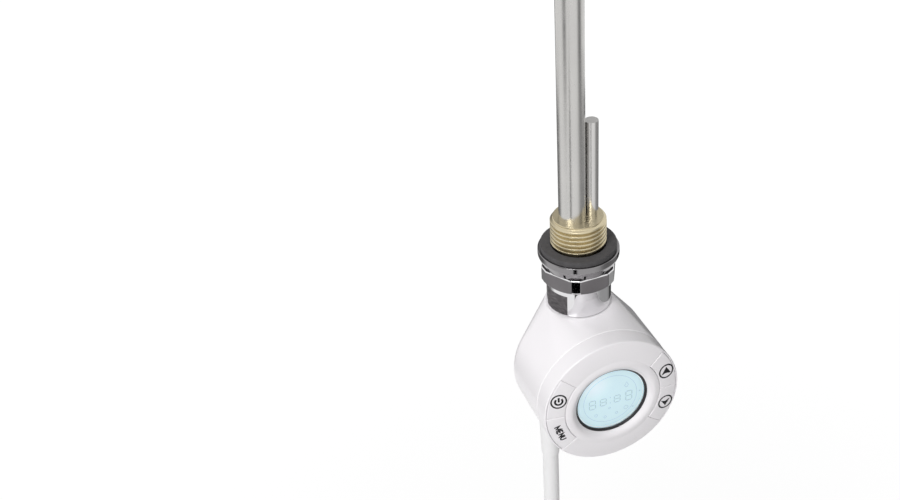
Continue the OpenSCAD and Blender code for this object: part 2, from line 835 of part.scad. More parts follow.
module mains_wires() {
    top = head_z + lead_block[1];
    color("sienna") for (k = [-1, 0, 1])
        swept(eased([k * 2.1 - cord_offset, -cord_forward, cord_top + soft],
            [k * 5 + lead_block[0] + lead_block[2] / 2, -cord_forward, top - soft], 4), wire_r);
}

module tact_switches() {
    color("darkslategray") head_frame() for (at = [20, -20, 200, 160])
        rotate([0, 0, at]) translate([switch_r, 0, control_f]) difference() {
            translate([-switch_side / 2, -switch_side / 2, 0])
                cube([switch_side, switch_side, switch_h]);
            translate([0, 0, switch_h - plunger_well]) cylinder(r = 1.6, h = plunger_well + over);
        }
}

// ---- buttons: each is a plate in the face, with a hidden flange and a stem ----

function button_mid(name) =
    let (half = pair_half_angle / 2)
    name == "up" ? half : name == "down" ? -half : name == "menu" ? 180 + half : 180 - half;

module button(name) {
    mid = button_mid(name);
    slack = 2 * asin(button_gap / 2 / foot_r);
    span = pair_half_angle - slack;
    edge = 0.25;
    in_r = foot_r + button_gap;
    out_r = button_outer_r - button_gap;
    plate_low = head_front - button_t;
    outline = concat(
        [[out_r, head_front + face_h(out_r) - edge]],
        face_line(out_r - edge, in_r + edge, 7),
        [[in_r, head_front + face_h(in_r) - edge], [in_r, flange_top_f], [foot_r - 0.5, flange_top_f],
            [foot_r - 0.5, flange_low_f], [bezel_inner_r - 0.3, flange_low_f],
            [bezel_inner_r - 0.3, plate_low], [out_r, plate_low]]);
    head_frame() {
        rotate([0, 0, mid - span / 2]) rotate_extrude(angle = span) polygon(outline);
        rotate([0, 0, mid]) translate([switch_r, 0, actuator_tip_f])
            cylinder(r = 1.8, h = flange_low_f - actuator_tip_f + 0.3);
    }
}

module actuator(name) {
    color("ivory") head_frame() rotate([0, 0, button_mid(name)])
        translate([switch_r, 0, control_f + switch_h - plunger_sink])
            cylinder(r = 1.5, h = actuator_tip_f - control_f - switch_h + plunger_sink);
}

module up_button() {
    color("gainsboro") button("up");
}
module down_button() {
    color("gainsboro") button("down");
}
module menu_button() {
    color("gainsboro") button("menu");
}
module power_button() {
    color("gainsboro") button("power");
}
module up_actuator() {
    actuator("up");
}
module down_actuator() {
    actuator("down");
}
module menu_actuator() {
    actuator("menu");
}
module power_actuator() {
    actuator("power");
}

// ---- mains lead ----

module on_lead() {
    translate([-cord_offset, -cord_forward, 0]) children();
}

module cord_boot() {
    neck = boot_d / 2 - fit;
    color("white") on_lead() rotate_extrude() polygon([
        [boot_bore_r, outlet_z - boot_len], [boot_tip_d / 2, outlet_z - boot_len],
        [neck, outlet_z], [neck, pad_top], [boot_flange_r - fit, pad_top],
        [boot_flange_r - fit, pad_top + boot_flange_t], [boot_bore_r, pad_top + boot_flange_t]]);
}

module cord_clamp() {
    color("lightgray") on_lead() difference() {
        translate([-4.4, -4.4, clamp_low]) cube([clamp_right + 4.4, 8.8, clamp_h]);
        translate([0, 0, clamp_low - over]) cylinder(r = boot_bore_r, h = clamp_h + 2 * over);
        translate([clamp_screw_x, 0, clamp_low - over]) cylinder(r = 0.9, h = clamp_h + 2 * over);
    }
}

module clamp_screw() {
    color("silver") on_lead() translate([clamp_screw_x, 0, 0]) {
        translate([0, 0, clamp_low - 3]) cylinder(r = 0.8, h = clamp_h + 3);
        translate([0, 0, clamp_low + clamp_h]) cylinder(r = 1.7, h = 1.2);
    }
}

module mains_cord() {
    route = concat([[0, 0, cord_top]], cord_route, [[0, 0, hank_top - 3]]);
    tail = [[0, 0, hank_low + 3], [0, 0, hank_low - 2], [0, 0, plug_top - 4]];
    color("white") on_lead() {
        swept(route, cord_r, 12);
        swept(tail, cord_r, 12);
    }
}

// The spare length, folded in end loops and drawn in at the waist by its tie
module cord_hank() {
    loop_r = hank_w / 2;
    far = hank_len / 2 - loop_r;
    waist = hank_waist / 2;
    near = tie_w / 2 + 1;
    outline = concat(
        [for (a = [0:10:180]) [loop_r * cos(a), far + loop_r * sin(a)]], [[-waist, near], [-waist, -near]],
        [for (a = [180:10:360]) [loop_r * cos(a), loop_r * sin(a) - far]], [[waist, -near], [waist, near]]);
    color("white") on_lead() translate([0, hank_depth / 2, hank_z]) rotate([90, 0, 0])
        linear_extrude(height = hank_depth) polygon(outline);
}

module hank_tie() {
    band = 1.2;
    x = hank_waist / 2 + fit;
    y = hank_depth / 2 + fit;
    color("dimgray") on_lead() translate([0, 0, hank_z - tie_w / 2]) difference() {
        translate([-x - band, -y - band, 0]) cube([2 * (x + band), 2 * (y + band), tie_w]);
        translate([-x, -y, -over]) cube([2 * x, 2 * y, tie_w + 2 * over]);
    }
}

module plug_body() {
    plug_r = plug_d / 2;
    neck_low = plug_top - plug_neck;
    clip = 5;
    color("white") on_lead() difference() {
        rotate_extrude() polygon([
            [cord_r + fit, plug_top], [cord_r + 1.4, plug_top], [cord_r + 3, neck_low + 4],
            [cord_r + 6, neck_low], [plug_r - 4, neck_low - 2], [plug_r, neck_low - 9],
            [plug_r, plug_face], [0, plug_face], [0, plug_top - 4.2], [cord_r + fit, plug_top - 4.2]]);
        for (side = [-1, 1]) {
            // pin holes, and the notches of the side earth contacts
            translate([side * plug_pin_spacing / 2, 0, plug_face - over])
                cylinder(d = plug_pin_d + 2 * fit, h = 12 + over);
            translate([-clip / 2, side * (plug_r - 1.6) - 2, plug_face - over]) cube([clip, 4, 22 + over]);
        }
    }
}

module plug_contacts() {
    tip = 1;
    color("silver") on_lead() for (side = [-1, 1]) {
        translate([side * plug_pin_spacing / 2, 0, plug_face - plug_pin_len + tip])
            cylinder(d = plug_pin_d, h = plug_pin_len - tip + 12);
        translate([side * plug_pin_spacing / 2, 0, plug_face - plug_pin_len])
            cylinder(r1 = plug_pin_d / 2 - tip, r2 = plug_pin_d / 2, h = tip);
        translate([-2.2, side * (plug_d / 2 - 2.6) - 0.9, plug_face + 1]) cube([4.4, 1.2, 20.9]);
    }
}

threaded_fitting();
seat_gasket();
cover_ring();
hex_nut();
neck_sleeve();
neck_seal();
journal_oring();
retaining_ring();
heater_sheath();
heater_filling();
ceramic_core();
heating_coil();
heater_pins();
crimp_sleeves();
end_seal();
element_leads();
lead_sleeve();
sensor_pocket();
thermistor();
thermal_fuse();
body_shell();
front_bezel();
bezel_seal();
display_gasket();
display_window();
lcd_panel();
backlight();
lcd_frame();
zebra_strips();
control_board();
controller_chip();
tact_switches();
power_board();
board_header();
board_spacers();
board_screws();
relay();
supply_capacitors();
board_fuse();
varistor();
terminal_blocks();
head_leads();
mains_wires();
up_button();
down_button();
menu_button();
power_button();
up_actuator();
down_actuator();
menu_actuator();
power_actuator();
cord_boot();
cord_clamp();
clamp_screw();
mains_cord();
cord_hank();
hank_tie();
plug_body();
plug_contacts();
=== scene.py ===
import math
from types import SimpleNamespace

import bpy
import numpy as np
from mathutils import Matrix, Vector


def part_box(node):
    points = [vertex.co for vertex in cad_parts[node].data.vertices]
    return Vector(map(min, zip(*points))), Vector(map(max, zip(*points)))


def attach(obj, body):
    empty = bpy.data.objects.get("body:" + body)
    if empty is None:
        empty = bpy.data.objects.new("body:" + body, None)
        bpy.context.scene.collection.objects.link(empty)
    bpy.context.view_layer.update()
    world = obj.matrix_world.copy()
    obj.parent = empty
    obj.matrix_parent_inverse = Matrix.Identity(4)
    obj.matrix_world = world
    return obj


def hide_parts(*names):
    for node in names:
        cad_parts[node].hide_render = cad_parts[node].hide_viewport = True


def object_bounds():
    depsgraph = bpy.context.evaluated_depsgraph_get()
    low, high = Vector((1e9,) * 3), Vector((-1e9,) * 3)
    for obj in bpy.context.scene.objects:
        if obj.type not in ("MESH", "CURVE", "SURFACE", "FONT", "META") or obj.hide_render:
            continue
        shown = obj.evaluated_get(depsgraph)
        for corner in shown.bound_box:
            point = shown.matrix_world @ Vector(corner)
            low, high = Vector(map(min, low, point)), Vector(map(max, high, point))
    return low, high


bl_info = {
    "name": "Towel Rail Heating Element",
    "version": (1, 0, 0),
    "blender": (4, 5, 0),
    "location": "3D View > Sidebar > Heating Element",
    "description": "Finishes an electric heating element with a thermostat head, round its CAD frame",
    "category": "Object",
}

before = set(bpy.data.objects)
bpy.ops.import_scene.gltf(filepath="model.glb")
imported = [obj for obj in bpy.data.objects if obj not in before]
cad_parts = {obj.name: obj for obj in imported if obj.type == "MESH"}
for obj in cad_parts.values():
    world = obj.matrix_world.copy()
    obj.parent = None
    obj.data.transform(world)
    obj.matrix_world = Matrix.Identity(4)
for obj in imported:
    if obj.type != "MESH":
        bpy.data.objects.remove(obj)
CAD_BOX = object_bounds()
MM = 0.001
TURN = 2 * np.pi


def span(node):
    """Lowest and highest corner of a CAD node, in millimetres."""
    return [np.array(corner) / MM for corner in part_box(node)]


HEAD_Z = sum(b[2] for b in span("display_window")) / 2
SEAT_LOW = span("seat_gasket")[0][2]
RING_LOW = span("cover_ring")[0][2]
NUT_LOW = span("hex_nut")[0][2]
BOSS_TOP, NECK_LOW = (b[2] for b in span("neck_seal"))
WINDOW_F = -span("display_window")[0][1]
PANEL_F = -span("lcd_panel")[0][1]
LEAD_X, LEAD_Y, _ = sum(span("cord_boot")) / 2
BOOT_LOW = span("cord_boot")[0][2]
HANK_LOW, HANK_TOP = (b[2] for b in span("cord_hank"))
HANK_Z = (HANK_LOW + HANK_TOP) / 2
PLUG_TOP = span("plug_body")[1][2]
PRINT_TOP, PRINT_FOOT = PANEL_F + 0.02, PANEL_F - 0.05
KEYS_R = 23.0  # middle of the buttons, where their angles are turned into lengths


# ---- sizes and colours that a user would change ----

def length(text, mm):
    """A length, given in millimetres."""
    return bpy.props.FloatProperty(name=text, default=mm * MM, min=0, unit="LENGTH", precision=5)


def angle(text, degrees):
    return bpy.props.FloatProperty(name=text, default=math.radians(degrees), subtype="ANGLE")


def colour(text, *rgb):
    return bpy.props.FloatVectorProperty(name=text, default=rgb, size=3, min=0, max=1, subtype="COLOR")


class CollarSizes(bpy.types.PropertyGroup):
    """Thread, cover ring, hexagon and neck"""

    thread_r: length("Major radius of the pipe thread", 10.4775)
    thread_depth: length("Depth of the thread", 1.162)
    thread_pitch: length("Rise of the thread in one turn", 1.814)
    thread_top: length("Height of the threaded end above the seat", 11.738)
    shank_r: length("Radius of the plain shank below the seat", 9.3155)
    ring_r: length("Radius of the cover ring", 15.3)
    ring_band: length("Height of the ring's straight band", 2.4)
    ring_low_r: length("Radius at the lower edge of the flare", 13.7)
    slot_w: length("Width of a slot in the flare", 0.8)
    slot_h: length("Height of a slot in the flare", 2.4)
    nut_half: length("Distance from the axis to a flat of the hexagon", 13.5)
    nut_r: length("Distance from the axis to the cuts on the hexagon's corners", 14.5)
    nut_low_r: length("Radius at the hexagon's lower face", 12.7)
    nut_chamfer: length("Height of the hexagon's lower chamfer", 1.6)
    neck_r: length("Radius of the bright neck", 12.25)
    flat_half: length("Distance from the axis to a flat", 10.95)
    shoulder: length("Round height above the spanner flats", 2.0)
    slot_turn: angle("Turn of a slot of the ring from the front, to the left", 14.4)
    nut_turn: angle("Turn of a corner from the front, to the left", 28)
    flat_turn: angle("Turn of a spanner flat from the front, to the left", 70.5)


class HeadSizes(bpy.types.PropertyGroup):
    """Shell, face, buttons and display"""

    head_r: length("Radius of the round head", 27.5)
    face_f: length("Distance from the thread's axis to the rim of the face", 30.5)
    seam_f: length("Distance from the thread's axis to the seam", 22.8)
    back_r: length("Rounding of the back edge", 5.0)
    fairing_r: length("Radius of the shell's top round the neck", 13.3)
    lip: length("Rounding of the shell's upper lip", 0.4)
    seam_edge: length("Rounding of the housing's edge at the seam", 0.4)
    seam_step: length("Step from the housing down to the face's cup", 0.15)
    seam_r: length("Rounding of the cup's edge at the seam", 0.12)
    wall: length("Wall of the shell", 2.2)
    rim_r: length("Rounding of the face's rim", 0.6)
    dome: length("Height of the face at the foot of the ridge", 0.95)
    crest: length("Height of the ridge's crest over its foot", 0.38)
    crest_r: length("Radius of the ridge's crest", 17.3)
    foot_r: length("Radius of the ridge's foot, where the buttons begin", 19.45)
    opening_r: length("Radius of the display opening", 14.75)
    opening_drop: length("Drop from the rim plane to the opening's edge", 0.15)
    button_rim: length("Width of the rim round the buttons", 0.65)
    button_gap: length("Gap round each button", 0.12)
    button_edge: length("Rounding of the buttons' edges", 0.36)
    display_r: length("Radius of the visible display", 13.8)
    icon_r: length("Radius of the printed rings round the icons", 2.9)
    icon_line: length("Width of the printed lines", 0.6)
    letter_h: length("Height of the printed letters", 2.75)
    pair_half: angle("Half of the angle that a pair of buttons takes", 40)


class LeadSizes(bpy.types.PropertyGroup):
    """Mains lead and its hank"""

    cord_d: length("Diameter of the mains lead", 6.5)
    loop_r: length("Radius of the hank's end loops", 19.5)
    layer: length("Step between the layers of the hank", 6.6)
    waist: length("Distance of the outer runs from the middle at the tie", 6.6)
    tie_x: length("Half of the tie's inner width", 10.52)
    tie_y: length("Half of the tie's inner depth", 16.52)
    tie_h: length("Width of the tie's band", 8.0)
    tie_t: length("Thickness of the tie's band", 1.15)


class Colours(bpy.types.PropertyGroup):
    """Colours of the showing surfaces"""

    shell: colour("Gloss plastic of the housing", 0.875, 0.853, 0.875)
    face: colour("Gloss plastic of the face and the buttons", 0.868, 0.846, 0.868)
    ink: colour("Printed rings, icons and letters", 0.012, 0.012, 0.014)
    ring: colour("Dark ring round the display", 0.022, 0.021, 0.024)
    display: colour("Lit display", 0.488, 0.625, 0.675)
    segment: colour("Unlit segments of the display", 0.330, 0.475, 0.490)
    # The rim tone is a painted highlight: a pale glowing line in place of the light caught by the window's chamfered
    # edge.
    rim: colour("Painted highlight along the edge of the lit display", 0.78, 0.90, 0.92)
    chrome: colour("Bright plating", 0.78, 0.775, 0.785)
    # The cover ring's plating tone is darkened as painted shade, in place of the shade and dark reflections under the
    # radiator.
    smoked: colour("Bright plating of the cover ring, darkened as painted shade", 0.28, 0.272, 0.278)
    satin: colour("Plating of the hexagon", 0.185, 0.176, 0.182)
    # The flats' tone is darkened as a painted reflection of a dark surrounding; the drawn strokes are the machining's
    # own grain.
    rough: colour("Machined spanner flats, darkened as a painted reflection", 0.19, 0.178, 0.185)
    brass: colour("Plated brass of the thread", 0.66, 0.58, 0.40)
    steel: colour("Stainless sheath of the rod", 0.60, 0.59, 0.575)
    lead: colour("Sheath of the mains lead", 0.855, 0.850, 0.855)
    floor: colour("Floor and backdrop", 0.90, 0.90, 0.90)


# Each finish: its tone (one of the colours, or its own), the share of it left in the darker clouds, the scale of
# the clouds (three for drawn-out ones), the least and the greatest roughness, the height of the relief, the scale of
# its grain (three for a drawn metal), and the shader's further sockets.
FINISHES = {
    "Plated Brass": ("brass", 0.86, 90, 0.22, 0.36, 0.06, (90, 90, 1500)),
    "Bright Chrome": ("chrome", 0.97, 50, 0.035, 0.075, 0.01, (140, 140, 700)),
    "Smoked Chrome": ("smoked", 0.95, 50, 0.06, 0.12, 0.01, (140, 140, 700)),
    "Satin Chrome": ("satin", 0.88, 120, 0.26, 0.4, 0.1, (70, 70, 2200)),
    "Machined Flat": ("rough", 0.2, (520, 520, 2400), 0.3, 0.55, 0.4, (500, 500, 3200)),
    "Black Rubber": ((0.03, 0.03, 0.032), 0.8, 300, 0.5, 0.65, 0.12, 1500),
    "Fibre Gasket": ((0.075, 0.072, 0.075), 0.7, 500, 0.7, 0.85, 0.3, 1800),
    "Spring Steel": ((0.35, 0.36, 0.38), 0.85, 150, 0.2, 0.35, 0.05, (600, 600, 60)),
    "Drawn Stainless": ("steel", 0.93, 45, 0.2, 0.3, 0.015, (700, 700, 12)),
    "Pocket Steel": ((0.64, 0.63, 0.62), 0.93, 80, 0.14, 0.24, 0.01, (700, 700, 20)),
    "Housing White": ("shell", 0.993, 25, 0.3, 0.38, 0.012, 260, {"Coat Weight": 0.25, "Coat Roughness": 0.2}),
    "White Face": ("face", 0.993, 25, 0.32, 0.4, 0.012, 260, {"Coat Weight": 0.2, "Coat Roughness": 0.24}),
    "Button White": ("face", 0.993, 30, 0.32, 0.4, 0.012, 260, {"Coat Weight": 0.2, "Coat Roughness": 0.24}),
    "Print Black": ("ink", 0.7, 300, 0.5, 0.6, 0.05, 1500, {"Specular IOR Level": 0.12}),
    "Display Ring": ("ring", 0.8, 200, 0.32, 0.42, 0.05, 900, {"Specular IOR Level": 0.3}),
    "Lit Display": ("display", 0.985, 40, 0.3, 0.4, 0, 900, {"Emission Strength": 0.55}),
    "Display Segment": ("segment", 0.97, 200, 0.4, 0.5, 0, 900, {"Emission Strength": 0.5}),
    "Display Rim": ("rim", 0.985, 40, 0.3, 0.4, 0, 900, {"Emission Strength": 0.6}),
    "Lead Sheath": ("lead", 0.97, 60, 0.32, 0.42, 0.05, 500),
    "Tie Band": ((0.045, 0.045, 0.048), 0.7, 300, 0.45, 0.6, 0.25, 1400),
    "Pin Nickel": ((0.66, 0.64, 0.6), 0.93, 120, 0.14, 0.24, 0.03, (300, 300, 900)),
    "Plug Plastic": ("lead", 0.97, 60, 0.28, 0.4, 0.08, 500),
}
# The middle, the reach and the tone of a painted reflection in a glowing finish: a paler patch of the glow over the
# display's upper left, in place of the window's soft reflection of light.
PAINTED_REFLECTION_PATCH = {"Lit Display": ((-6.3 * MM, -PANEL_F * MM, (HEAD_Z + 8.0) * MM), 9.0 * MM, (0.77, 0.83, 0.90))}


def in_mm(group):
    """The sizes of a group, with its lengths in millimetres."""
    kinds = group.bl_rna.properties
    return SimpleNamespace(**{name: getattr(group, name) / (MM if kinds[name].unit == "LENGTH" else 1)
                              for name in type(group).__annotations__})


# ---- shapes ----

def round_angles(steps):
    return np.linspace(0, TURN, steps, endpoint=False)[None, :]


def wheel(radius, angle, height):
    """Points (r cos a, r sin a, h)."""
    return np.stack(np.broadcast_arrays(radius * np.cos(angle), radius * np.sin(angle), height), axis=-1)


def unit(v):
    """Vectors brought to length one."""
    return v / np.maximum(np.linalg.norm(v, axis=-1, keepdims=True), 1e-9)


def skin(points, along=False, caps=False):
    """Joins a grid of points, rows along a profile and columns round it, into faces.

    A face takes the points of two neighbouring rows and two neighbouring columns. A row whose points
    all meet is one pole. The faces are turned over if they enclose a negative volume.
    """
    rows, cols = points.shape[:2]
    index = np.arange(rows * cols).reshape(rows, cols)
    for i in (0, -1):
        if np.ptp(points[i], axis=0).max() < 1e-6:
            index[i] = index[i, 0]
    net = np.concatenate([index, index[:1]]) if along else index
    net = np.concatenate([net, net[:, :1]], axis=1)
    quads = np.stack([net[:-1, :-1], net[:-1, 1:], net[1:, 1:], net[1:, :-1]], axis=-1).reshape(-1, 4)
    top, low = quads[:, 0] == quads[:, 1], quads[:, 2] == quads[:, 3]
    plain = ~(top | low)
    order = np.concatenate([np.flatnonzero(kind) for kind in (plain, top, low)])
    fours = quads[plain]
    threes = np.concatenate([quads[top][:, [0, 2, 3]], quads[low][:, [0, 1, 2]]])
    ends = [index[0][::-1], index[-1]] if caps else []
    verts = points.reshape(-1, 3)
    used = np.unique(net)
    a, b, c, d = (verts[quads[:, k]] - verts[used].mean(axis=0) for k in range(4))
    if (np.cross(a, b) * c).sum() + (np.cross(a, c) * d).sum() < 0:
        fours, threes, ends = fours[:, ::-1], threes[:, ::-1], [end[::-1] for end in ends]
    new = np.full(rows * cols, -1)
    new[used] = np.arange(len(used))
    return verts[used], new[fours].tolist() + new[threes].tolist() + [new[end].tolist() for end in ends], order


def put(name, skins, finishes, body, nodes=(), marks=None, smooth=40.0):
    """Puts one or more skins, in millimetres, into a new piece that rides on a body.

    marks gives each face of the first skin its finish, in the order of the grid.
    """
    skins = skins if isinstance(skins, list) else [skins]
    verts, faces, first = [], [], 0
    for points, polygons, _ in skins:
        verts.append(points)
        faces += [[i + first for i in polygon] for polygon in polygons]
        first += len(points)
    mesh = bpy.data.meshes.new(name)
    mesh.from_pydata((np.concatenate(verts) * MM).tolist(), [], faces)
    mesh.polygons.foreach_set("use_smooth", np.ones(len(faces), bool))
    for one in finishes:
        mesh.materials.append(finish(one))
    if marks is not None:
        chosen = np.zeros(len(faces), np.int32)
        chosen[: marks.size] = marks.reshape(-1)[skins[0][2]]
        mesh.polygons.foreach_set("material_index", chosen)
    mesh.update()
    mesh.set_sharp_from_angle(angle=math.radians(smooth))
    piece = bpy.data.objects.new(name, mesh)
    bpy.context.scene.collection.objects.link(piece)
    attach(piece, body)
    if nodes:
        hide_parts(*nodes)
    return piece


def eased(corners, radius, steps=4, closed=False):
    """A profile with its corners eased.

    Corner p, with unit directions u and v to its neighbours, becomes the quadratic curve
    (1-t)^2 (p + u r) + 2 t (1-t) p + t^2 (p + v r), with a guard point 1.6 r out on each side.
    """
    p = np.asarray(corners, float)
    back, on = np.roll(p, 1, 0) - p, np.roll(p, -1, 0) - p
    shorter = np.minimum(np.linalg.norm(back, axis=1), np.linalg.norm(on, axis=1))
    r = np.minimum(radius, 0.3 * shorter)[:, None, None]
    u, v, q = unit(back)[:, None], unit(on)[:, None], p[:, None]
    t = np.linspace(0, 1, steps + 1)[None, :, None]
    curve = (1 - t) ** 2 * (q + u * r) + 2 * t * (1 - t) * q + t**2 * (q + v * r)
    full = np.concatenate([q + 1.6 * r * u, curve, q + 1.6 * r * v], axis=1)
    if closed:
        return full.reshape(-1, 2)
    return np.concatenate([p[:1], full[1:-1].reshape(-1, 2), p[-1:]])


def on_face(x, z, f):
    """Points of the head's frame: x to the right, z up from its centre, f forward."""
    return np.stack([x + 0 * f, -f + 0 * x, z + HEAD_Z + 0 * f], axis=-1)


def turned(profile, steps=160, head=False, middle=(0.0, 0.0, 0.0)):
    """A profile of (radius, height) turned round. In the head's frame the height runs forward."""
    points = wheel(profile[:, :1], round_angles(steps), profile[:, 1:])
    if head:
        points = on_face(*np.moveaxis(points, -1, 0))
    return points + np.array(middle)


def slab(top, low):
    """A closed plate between two grids: each row runs over the top and back under it."""
    return skin(np.concatenate([top, low[:, ::-1]], axis=1), caps=True)


def ribbon(path, width, high, low, closed=False):
    """A printed line of even width along a plan path, with five points across.

    The outer points lie half the width to either side along the mean of the path's two normals, divided
    by the cosine of half the turn.
    """
    p = np.asarray(path, float)
    miter = np.ones(len(p))
    if closed:
        step = np.roll(p, -1, 0) - np.roll(p, 1, 0)
    else:
        edge = unit(np.diff(p, axis=0))
        step = np.concatenate([edge[:1], edge[:-1] + edge[1:], edge[-1:]])
        miter[1:-1] = 2 / np.linalg.norm(step[1:-1], axis=1)
    normal = np.stack([-step[:, 1], step[:, 0]], axis=1)
    n = unit(normal) * np.minimum(miter, 2.2)[:, None] * width / 2
    spots = [(p + k * n, high) for k in (1.0, 0.5, 0.0, -0.5, -1.0)] + [(p - n, low), (p + n, low)]
    loop = [on_face(q[:, 0], q[:, 1], h(q)) for q, h in spots]
    return skin(np.stack(loop, axis=1), along=closed, caps=not closed)


def ring_path(x, z, r, steps=64, start=0.0, stop=TURN):
    """Points on a circle, (x + r cos a, z + r sin a)."""
    a = np.linspace(start, stop, steps, endpoint=stop - start < 6.28)
    return np.stack([x + r * np.cos(a), z + r * np.sin(a)], axis=1)


def swept(path, radius, sides):
    """A round tube: p + r (u cos a + v sin a), with u across the tangent and the Y axis."""
    t = unit(np.gradient(path, axis=0))
    u = unit(np.cross([0.0, 1.0, 0.0], t))
    a = round_angles(sides)[..., None]
    return skin(path[:, None] + radius * (u[:, None] * np.cos(a) + np.cross(t, u)[:, None] * np.sin(a)), caps=True)


def run_length(path):
    """Distance along a path to each of its points."""
    return np.concatenate([[0], np.cumsum(np.linalg.norm(np.diff(path, axis=0), axis=1))])


def at_lengths(path, stops):
    """Points of a path at given distances along it."""
    return np.stack([np.interp(stops, run_length(path), column) for column in path.T], axis=1)


def soft_least(a, b, k):
    """The lesser of two lengths, with the corner between them eased over about k."""
    gap = np.clip(0.5 + 0.5 * (b - a) / k, 0, 1)
    return b + (a - b) * gap - k * gap * (1 - gap)


# ---- finishes ----

def group(name, inputs, outputs):
    """A shader node group with named inputs and outputs."""
    tree = bpy.data.node_groups.new(name, "ShaderNodeTree")
    for label, value in inputs.items():
        kind = "Float" if isinstance(value, float) else "Color" if len(value) == 4 else "Vector"
        socket = tree.interface.new_socket(name=label, in_out="INPUT", socket_type="NodeSocket" + kind)
        socket.default_value = value
    for label, kind in outputs.items():
        tree.interface.new_socket(name=label, in_out="OUTPUT", socket_type="NodeSocket" + kind)
    return tree, tree.nodes.new("NodeGroupInput").outputs, tree.nodes.new("NodeGroupOutput").inputs


def join(tree, node, inputs):
    """Links sockets to a node's inputs, or sets their values."""
    for key, source in inputs.items():
        if isinstance(source, bpy.types.NodeSocket):
            tree.links.new(source, node.inputs[key])
        else:
            node.inputs[key].default_value = source


def add(tree, kind, inputs=None, **values):
    """Adds a shader node, sets its values and joins its inputs."""
    node = tree.nodes.new("ShaderNode" + kind)
    for key, value in values.items():
        setattr(node, key, value)
    join(tree, node, inputs or {})
    return node


def noise(tree, where, scale, detail, rough=0.5):
    links = {"Vector": where, "Scale": scale, "Detail": detail, "Roughness": rough}
    return add(tree, "TexNoise", links).outputs["Fac"]


def object_point(tree):
    return add(tree, "TexCoord").outputs["Object"]


def surface(tree, given, out, relief, wear, least, most):
    """Ends a skin: relief gives its shallow bump, and wear, between least and most, its roughness."""
    spread = add(tree, "MapRange", {"Value": wear, "From Min": least, "From Max": most,
                                    "To Min": given["Low"], "To Max": given["High"]})
    bump = add(tree, "Bump", {"Height": relief, "Strength": given["Height"], "Distance": 0.0002})
    tree.links.new(spread.outputs["Result"], out["Roughness"])
    tree.links.new(bump.outputs["Normal"], out["Normal"])
    return tree


SKIN = {"Roughness": "Float", "Normal": "Vector"}


def moulded_skin():
    """Fine grain of a moulded surface: varied roughness and a shallow bump."""
    tree, given, out = group("Moulded Skin", {"Scale": 900.0, "Height": 0.02, "Low": 0.15, "High": 0.25}, SKIN)
    where = object_point(tree)
    return surface(tree, given, out, noise(tree, where, given["Scale"], 3.0), noise(tree, where, 70.0, 4.0, 0.6),
                   0.15, 0.85)


def drawn_metal():
    """Metal with fine lines along one direction and a little clouding."""
    tree, given, out = group("Drawn Metal", {"Stretch": (60.0, 60.0, 900.0), "Height": 0.05, "Low": 0.05,
                                             "High": 0.12}, SKIN)
    where = object_point(tree)
    scaled = add(tree, "VectorMath", {0: where, 1: given["Stretch"]}, operation="MULTIPLY")
    lines = noise(tree, scaled.outputs[0], 1.0, 5.0, 0.65)
    both = add(tree, "Math", {0: lines, 1: noise(tree, where, 160.0, 3.0), 2: 0.1}, operation="MULTIPLY_ADD")
    return surface(tree, given, out, lines, both.outputs[0], 0.2, 0.5)


def clouded_tone():
    """A colour that drifts between two tones."""
    tree, given, out = group("Clouded Tone", {"Tone": (0.8, 0.8, 0.8, 1), "Deep": (0.7, 0.7, 0.7, 1), "Scale": 60.0,
                                              "Stretch": (1.0, 1.0, 1.0)}, {"Colour": "Color"})
    scaled = add(tree, "VectorMath", {0: object_point(tree), 1: given["Stretch"]}, operation="MULTIPLY")
    cloud = noise(tree, scaled.outputs[0], given["Scale"], 4.0)
    spread = add(tree, "MapRange", {"Value": cloud, "From Min": 0.25, "From Max": 0.75})
    mix = add(tree, "Mix", {0: spread.outputs["Result"], 6: given["Tone"], 7: given["Deep"]}, data_type="RGBA")
    tree.links.new(mix.outputs[2], out["Colour"])
    return tree


SHARED = {"Moulded Skin": moulded_skin, "Drawn Metal": drawn_metal, "Clouded Tone": clouded_tone}


def grouped(tree, name, values):
    """Adds a node of one of the groups, made at its first use."""
    made = bpy.data.node_groups.get(name) or SHARED[name]()
    return add(tree, "Group", values, node_tree=made).outputs


def fresh(name):
    """A new material, its node tree and its shader."""
    made = bpy.data.materials.new(name)
    made.use_nodes = True
    return made, made.node_tree, made.node_tree.nodes["Principled BSDF"]


